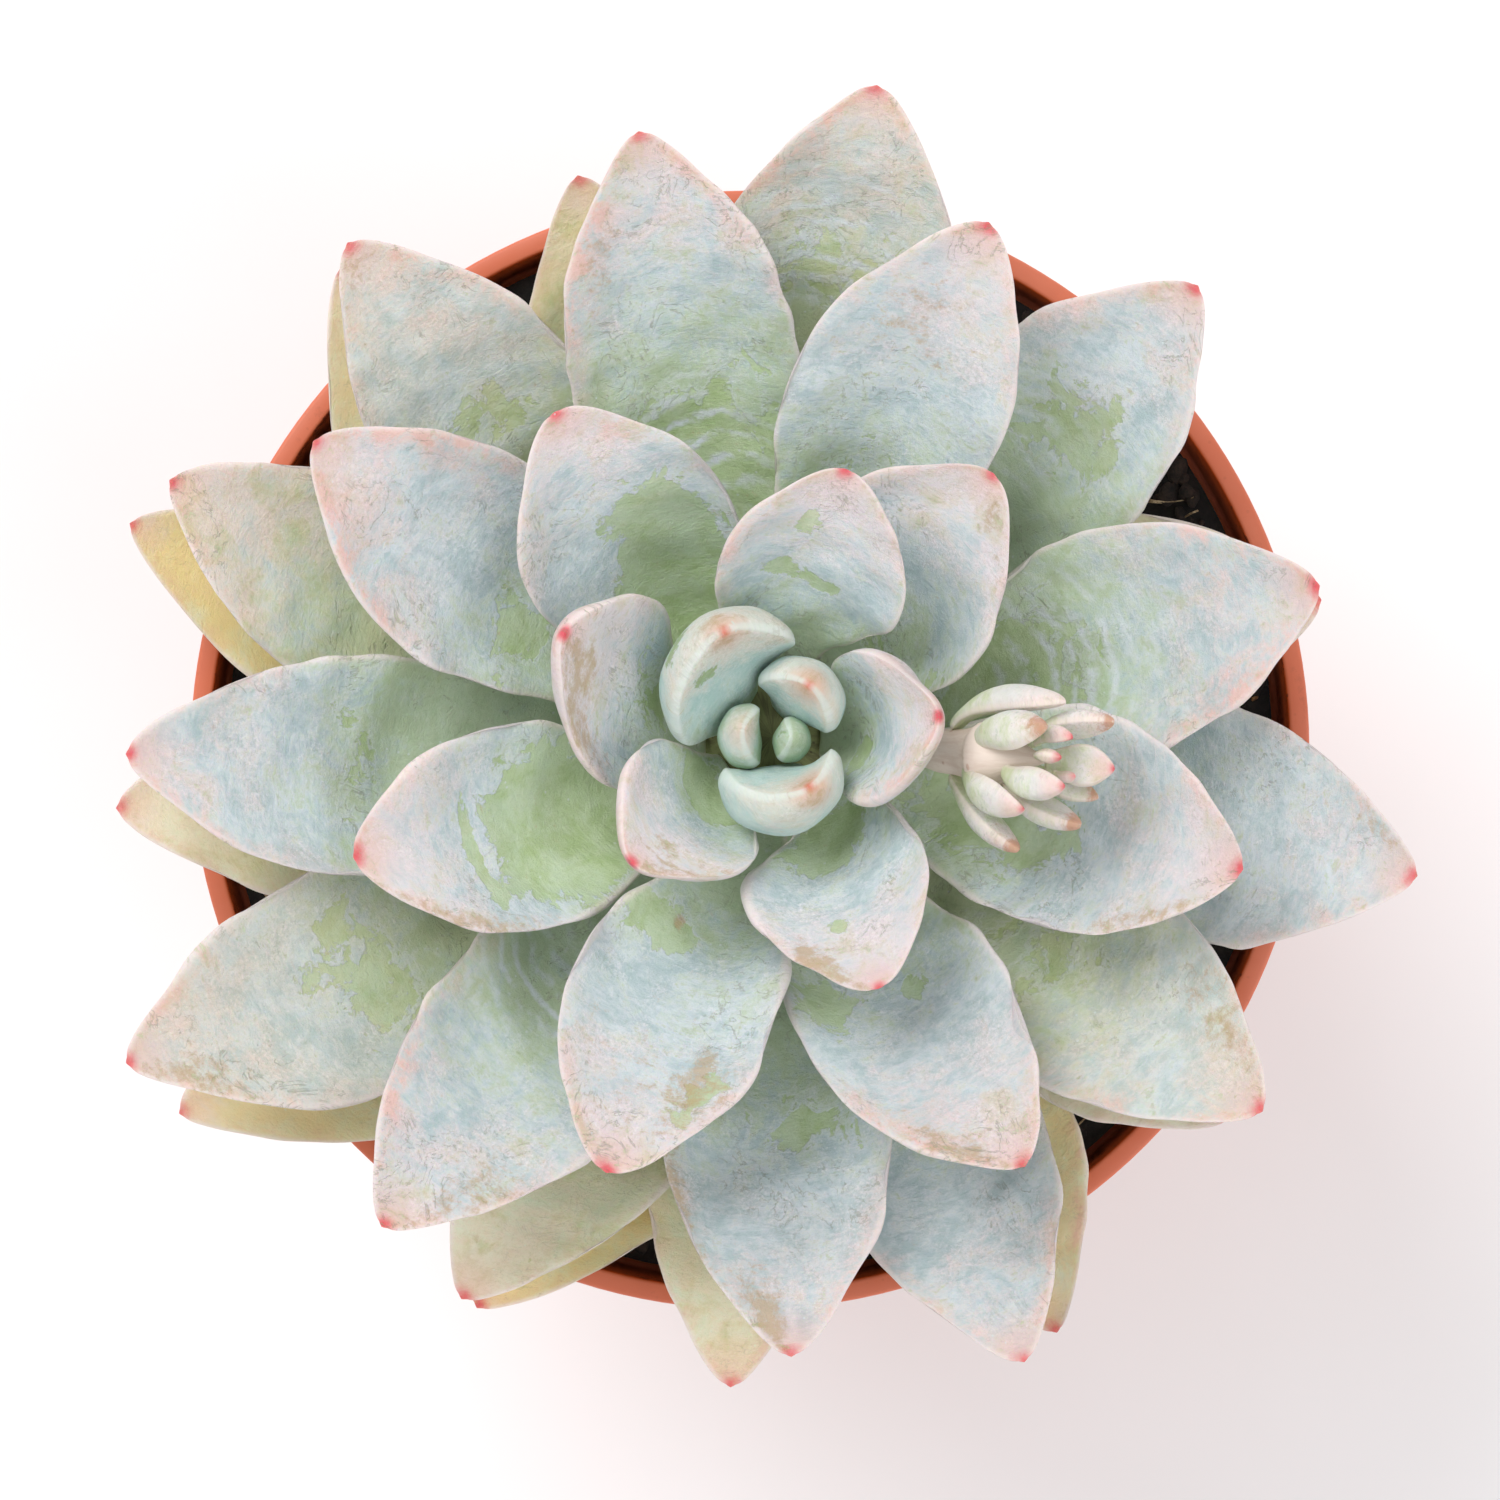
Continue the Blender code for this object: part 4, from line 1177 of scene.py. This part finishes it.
@dataclass
class PottingMix:
    """The soil: a lumpy bed with crumbs, perlite, bark and root fibres on it."""

    seed: int = 11
    crumbs: int = 2300
    perlite: int = 60
    bark: int = 90
    fibres: int = 240
    batch: int = 60  # lumps made at a time
    bank: float = 5 * MM  # how far the mix climbs the wall
    spread: float = 0.9 * MM  # and how much wider it is there
    bump: float = 0.35 * MM
    sides: int = 96
    rings: int = 24
    banked_from: float = 0.78  # share of the reach where it starts to climb
    level: float = 0.0  # found from the packed soil, as the reach is
    reach: float = 0.0

    def build(self) -> None:
        """Builds the bed and everything that lies on it."""
        low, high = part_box("soil")
        self.level, self.reach = high.z - 0.8 * MM, (high.x - low.x) / 2 + self.spread
        self._bed(low.z)
        rng = random.Random(self.seed)
        peat = EarthFinish("peat_crumbs", "100C0A", "3A2B22", 5.0).build()
        self._scatter("soil_crumbs", self.crumbs, (0.5, 1.5), peat, rng, 0.1)
        grit = EarthFinish("perlite", "C9C7BF", "F3F2EE", 9.0, 0.85, 0.5).build()
        self._scatter("soil_perlite", self.perlite, (0.6, 1.5), grit, rng, 0.9)
        bark = EarthFinish("bark_bits", "5A381F", "C79457", 4.0, 0.85, 0.5).build()
        self._scatter("soil_bark", self.bark, (0.7, 1.9), bark, rng, 0.8, flat=0.35)
        self._roots(rng)

    def _height(self, x: float, y: float) -> float:
        """Gives the bed's height at a place."""
        bumps = math.sin(x / (3.1 * MM)) * math.sin(y / (2.7 * MM))
        bumps += 0.6 * math.sin((x + y) / (1.7 * MM) + 1)
        climb = min(max((math.hypot(x, y) / self.reach - self.banked_from) / 0.2, 0.0), 1.0)
        return self.level + self.bump * bumps + self.bank * climb * climb * (3 - 2 * climb)

    def _bed(self, floor: float) -> None:
        """Builds the bed by spinning its outline and roughening its top."""
        foot = 0.72 * self.reach
        outline = [(0.0, floor), (foot, floor), (self.reach, self.level)]
        outline += [(self.reach * (1 - step / self.rings), self.level) for step in range(1, self.rings + 1)]
        bm = turned(outline, self.sides)
        for vert in bm.verts:
            if vert.co.z > self.level - 0.1 * MM:
                vert.co.z = self._height(vert.co.x, vert.co.y)
        finish = EarthFinish("peat_bed", "0B0908", "1E1713", 3.0).build()
        finish_piece("soil_bed", bm, finish, Slot.SOIL, "soil")

    def _scatter(self, name: str, count: int, sizes: tuple[float, float], finish: Material,
                 rng: random.Random, raised: float, flat: float = 0.75) -> None:
        """Strews small lumps over the bed.

        Args:
            name: the piece's name.
            count: how many lumps.
            sizes: least and greatest radius, in mm.
            finish: their material.
            rng: the source of chance.
            raised: how high their middles lie above the bed, as a share of half their radius.
            flat: their height as a share of their breadth.
        """
        strewn, bm, batch = bmesh.new(), bmesh.new(), bpy.data.meshes.new(name + "_batch")
        for done in range(1, count + 1):
            spread = self.reach * math.sqrt(rng.uniform(0.03, 0.97))
            angle = rng.uniform(0, math.tau)
            size = rng.uniform(*sizes) * MM * rng.uniform(0.6, 1.0)
            spread = min(spread, self.reach - size)
            x, y = spread * math.cos(angle), spread * math.sin(angle)
            made = bmesh.ops.create_icosphere(bm, subdivisions=1, radius=size)["verts"]
            for vert in made:
                vert.co *= rng.uniform(0.75, 1.2)
            stretch = Matrix.Diagonal((rng.uniform(0.8, 1.3), rng.uniform(0.7, 1.0), flat, 1.0))
            lean = Matrix.Rotation(rng.uniform(-0.5, 0.5), 4, "X")
            tilt = lean @ Matrix.Rotation(rng.uniform(0, math.tau), 4, "Z")
            place = Matrix.Translation((x, y, self._height(x, y) + raised * size * 0.5)) @ tilt @ stretch
            bmesh.ops.transform(bm, matrix=place, verts=made)
            if done % self.batch == 0 or done == count:
                bm.to_mesh(batch)
                strewn.from_mesh(batch)
                bm.clear()
        bm.free()
        bpy.data.meshes.remove(batch)
        finish_piece(name, strewn, finish, Slot.SOIL)

    def _roots(self, rng: random.Random) -> None:
        """Lays thin root fibres on the bed: fine closed tubes along loose arcs."""
        bm = bmesh.new()
        for _ in range(self.fibres):
            spread, angle = self.reach * math.sqrt(rng.uniform(0.3, 0.95)), rng.uniform(0, math.tau)
            spot = Vector((spread * math.cos(angle), spread * math.sin(angle), 0))
            way, bend = rng.uniform(0, math.tau), rng.uniform(-0.3, 0.3)
            size, step = rng.uniform(0.05, 0.13) * MM, rng.uniform(0.5, 1.4) * MM
            tilt = Matrix.Rotation(way, 4, "Z") @ Matrix.Rotation(math.pi / 2, 4, "Y")
            spot.z = self._height(spot.x, spot.y) + 0.4 * MM
            ring = bmesh.ops.create_circle(
                bm, cap_ends=True, segments=5, radius=size, matrix=Matrix.Translation(spot) @ tilt,
            )["verts"]
            edges = list({edge for vert in ring for edge in vert.link_edges})
            for index in range(8):
                way += bend
                ahead = spot + step * Vector((math.cos(way), math.sin(way), 0))
                if ahead.xy.length > self.reach - MM:
                    break
                ahead.z = self._height(ahead.x, ahead.y) + (0.8 + 0.5 * math.sin(index + way)) * MM
                made = bmesh.ops.extrude_edge_only(bm, edges=edges)["geom"]
                ring = [item for item in made if isinstance(item, bmesh.types.BMVert)]
                edges = [item for item in made if isinstance(item, bmesh.types.BMEdge) and item.is_boundary]
                bmesh.ops.translate(bm, verts=ring, vec=ahead - spot)
                spot = ahead
            bmesh.ops.contextual_create(bm, geom=edges)
        bmesh.ops.recalc_face_normals(bm, faces=bm.faces)
        finish = EarthFinish("root_fibre", "6C563C", "D2BC98", 8.0, 0.8, 0.3).build()
        finish_piece("soil_roots", bm, finish, Slot.SOIL)


@dataclass
class Pot:
    """A round nursery pot, turned from its outline and drilled."""

    collar: float = 13 * MM
    step: float = 1.3 * MM
    lip: float = 2.2 * MM
    wall: float = 1.5 * MM
    floor: float = 1.6 * MM
    base: float = 42 * MM
    pad: float = 17 * MM
    foot: float = 5 * MM
    channel: float = 2.4 * MM
    holes: int = 8
    hole_radius: float = 3.5 * MM
    corner: float = math.radians(20)  # least angle at which an edge is rounded
    rounding: float = 0.45 * MM
    sides: int = 160

    def build(self) -> None:
        """Builds the pot and marks its inner wall for the finish."""
        low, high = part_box("pot")
        rim, height = (high.x - low.x) / 2, high.z
        edge = height - self.collar

        def radius_at(level: float | Array) -> float | Array:
            """Gives the outer radius of the wall below the collar."""
            return self.base + (rim - self.step - self.base) * level / height

        rise, out = self.channel, self.base - self.foot
        deep = self.floor + rise
        outline = [
            (0.0, 0.0), (self.pad, 0.0), (self.pad + rise, rise), (out - rise, rise), (out, 0.0),
            (self.base, 0.0),
            (radius_at(edge), edge), (rim - 0.3 * MM, edge + 0.2 * MM), (rim, height),
            (rim - self.lip, height), (rim - self.lip, edge + 2 * MM), (radius_at(edge) - self.wall, edge),
            (radius_at(deep) - self.wall, deep), (out - rise, deep), (self.pad + rise, deep),
            (self.pad, self.floor), (0.0, self.floor),
        ]
        bm = turned(outline, self.sides)
        corners = [seam for seam in bm.edges if seam.is_manifold and seam.calc_face_angle() > self.corner
                   and abs(seam.verts[0].co.z - seam.verts[1].co.z) < 1e-6]
        bmesh.ops.bevel(bm, geom=corners, offset=self.rounding, offset_type="OFFSET", affect="EDGES",
                        segments=3, profile=0.5, material=-1, clamp_overlap=True)
        mesh = self._drilled(bm, (self.pad + out) / 2)
        x, y, level = points_of(mesh).T
        inner = ((np.hypot(x, y) < radius_at(level) - 0.4 * self.wall)
                 & (level > self.floor * 0.5) & (level < height - 0.2 * MM))
        write_attribute(mesh, "inner", inner.astype(float))
        finish_piece("pot_shell", mesh, PlasticFinish("pot_plastic").build(), Slot.POT, "pot")

    def _drilled(self, bm: BMesh, middle: float) -> Mesh:
        """Cuts the drain holes.

        Args:
            bm: the turned pot, which is used up.
            middle: how far the holes stand from the axis.

        Returns:
            The pot's mesh with its holes.
        """
        blank = bpy.data.objects.new("pot_blank", to_mesh(bm, "pot_blank"))
        drills = bmesh.new()
        for turn in range(self.holes):
            about = Matrix.Rotation(math.tau * (turn + 0.5) / self.holes, 4, "Z")
            spot = about @ Matrix.Translation((middle, 0, 0))
            bmesh.ops.create_cone(drills, cap_ends=True, segments=32, radius1=self.hole_radius,
                                  radius2=self.hole_radius, depth=6 * self.floor + self.channel, matrix=spot)
        drill = bpy.data.objects.new("pot_drill", to_mesh(drills, "pot_drill"))
        for made in (blank, drill):
            bpy.context.scene.collection.objects.link(made)
        boolean = blank.modifiers.new("holes", "BOOLEAN")
        boolean.operation, boolean.solver, boolean.object = "DIFFERENCE", "EXACT", drill
        graph = bpy.context.evaluated_depsgraph_get()
        mesh = bpy.data.meshes.new_from_object(blank.evaluated_get(graph))
        for made in (blank, drill):
            bpy.data.objects.remove(made)
        return mesh


# ---------------------------------------------------------------- studio


@dataclass
class Studio:
    """A pale floor, soft light from above and a camera that looks straight down."""

    camera_height: float = 0.700
    lens: float = 134.4
    sky: float = 0.70
    key: float = 7.2  # W
    fill: float = 3.0  # W
    floor: float = 2.0

    def build(self) -> None:
        """Sets up floor, light and camera."""
        scene = bpy.context.scene
        scene.view_settings.view_transform = "Standard"
        bm = bmesh.new()
        bmesh.ops.create_grid(bm, x_segments=2, y_segments=2, size=self.floor)
        mesh = to_mesh(bm, "floor")
        made, graph, shader = new_material("floor_paper")
        place = graph.add("TexCoord").outputs["Object"]
        tone = graph.mix(graph.noise(place, 30.0), "F6F6F5", "FAFAFA")
        graph.set(shader, {"Base Color": tone, "Roughness": 0.9})
        mesh.materials.append(made)
        floor = bpy.data.objects.new("floor", mesh)
        scene.collection.objects.link(floor)

        world = bpy.data.worlds.new("studio")
        world.use_nodes = True
        background = world.node_tree.nodes["Background"]
        background.inputs[0].default_value = shade("FBFCFF")
        background.inputs[1].default_value = self.sky
        scene.world = world
        self._lamp("key_light", (-0.45, 0.55, 0.9), 0.7, self.key)
        self._lamp("fill_light", (0.6, -0.4, 0.8), 0.9, self.fill)

        camera = bpy.data.cameras.new("camera")
        camera.lens = self.lens
        camera.sensor_width = 36.0
        camera.clip_start, camera.clip_end = 0.01, 10.0
        holder = bpy.data.objects.new("camera", camera)
        holder.location = (0.0, 0.0, self.camera_height)
        scene.collection.objects.link(holder)
        scene.camera = holder

    def _lamp(self, name: str, spot: Place, size: float, power: float) -> None:
        """Hangs one large soft lamp that faces the plant."""
        data = bpy.data.lights.new(name, "AREA")
        data.shape, data.size, data.energy = "DISK", size, power
        lamp = bpy.data.objects.new(name, data)
        lamp.location = spot
        lamp.rotation_euler = (Vector(spot) - Vector((0, 0, 0.1))).to_track_quat("Z", "Y").to_euler()
        bpy.context.scene.collection.objects.link(lamp)


def main() -> None:
    """Builds the plant, its pot and the studio."""
    logging.basicConfig(level=logging.INFO, format="%(asctime)s %(name)s: %(message)s")
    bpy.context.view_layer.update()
    Studio().build()
    Pot().build()
    PottingMix().build()
    stem = Stem()
    stem.build()
    Rosette().build(stem.axis())
    SideShoot().build()


if __name__ == "__main__":
    main()
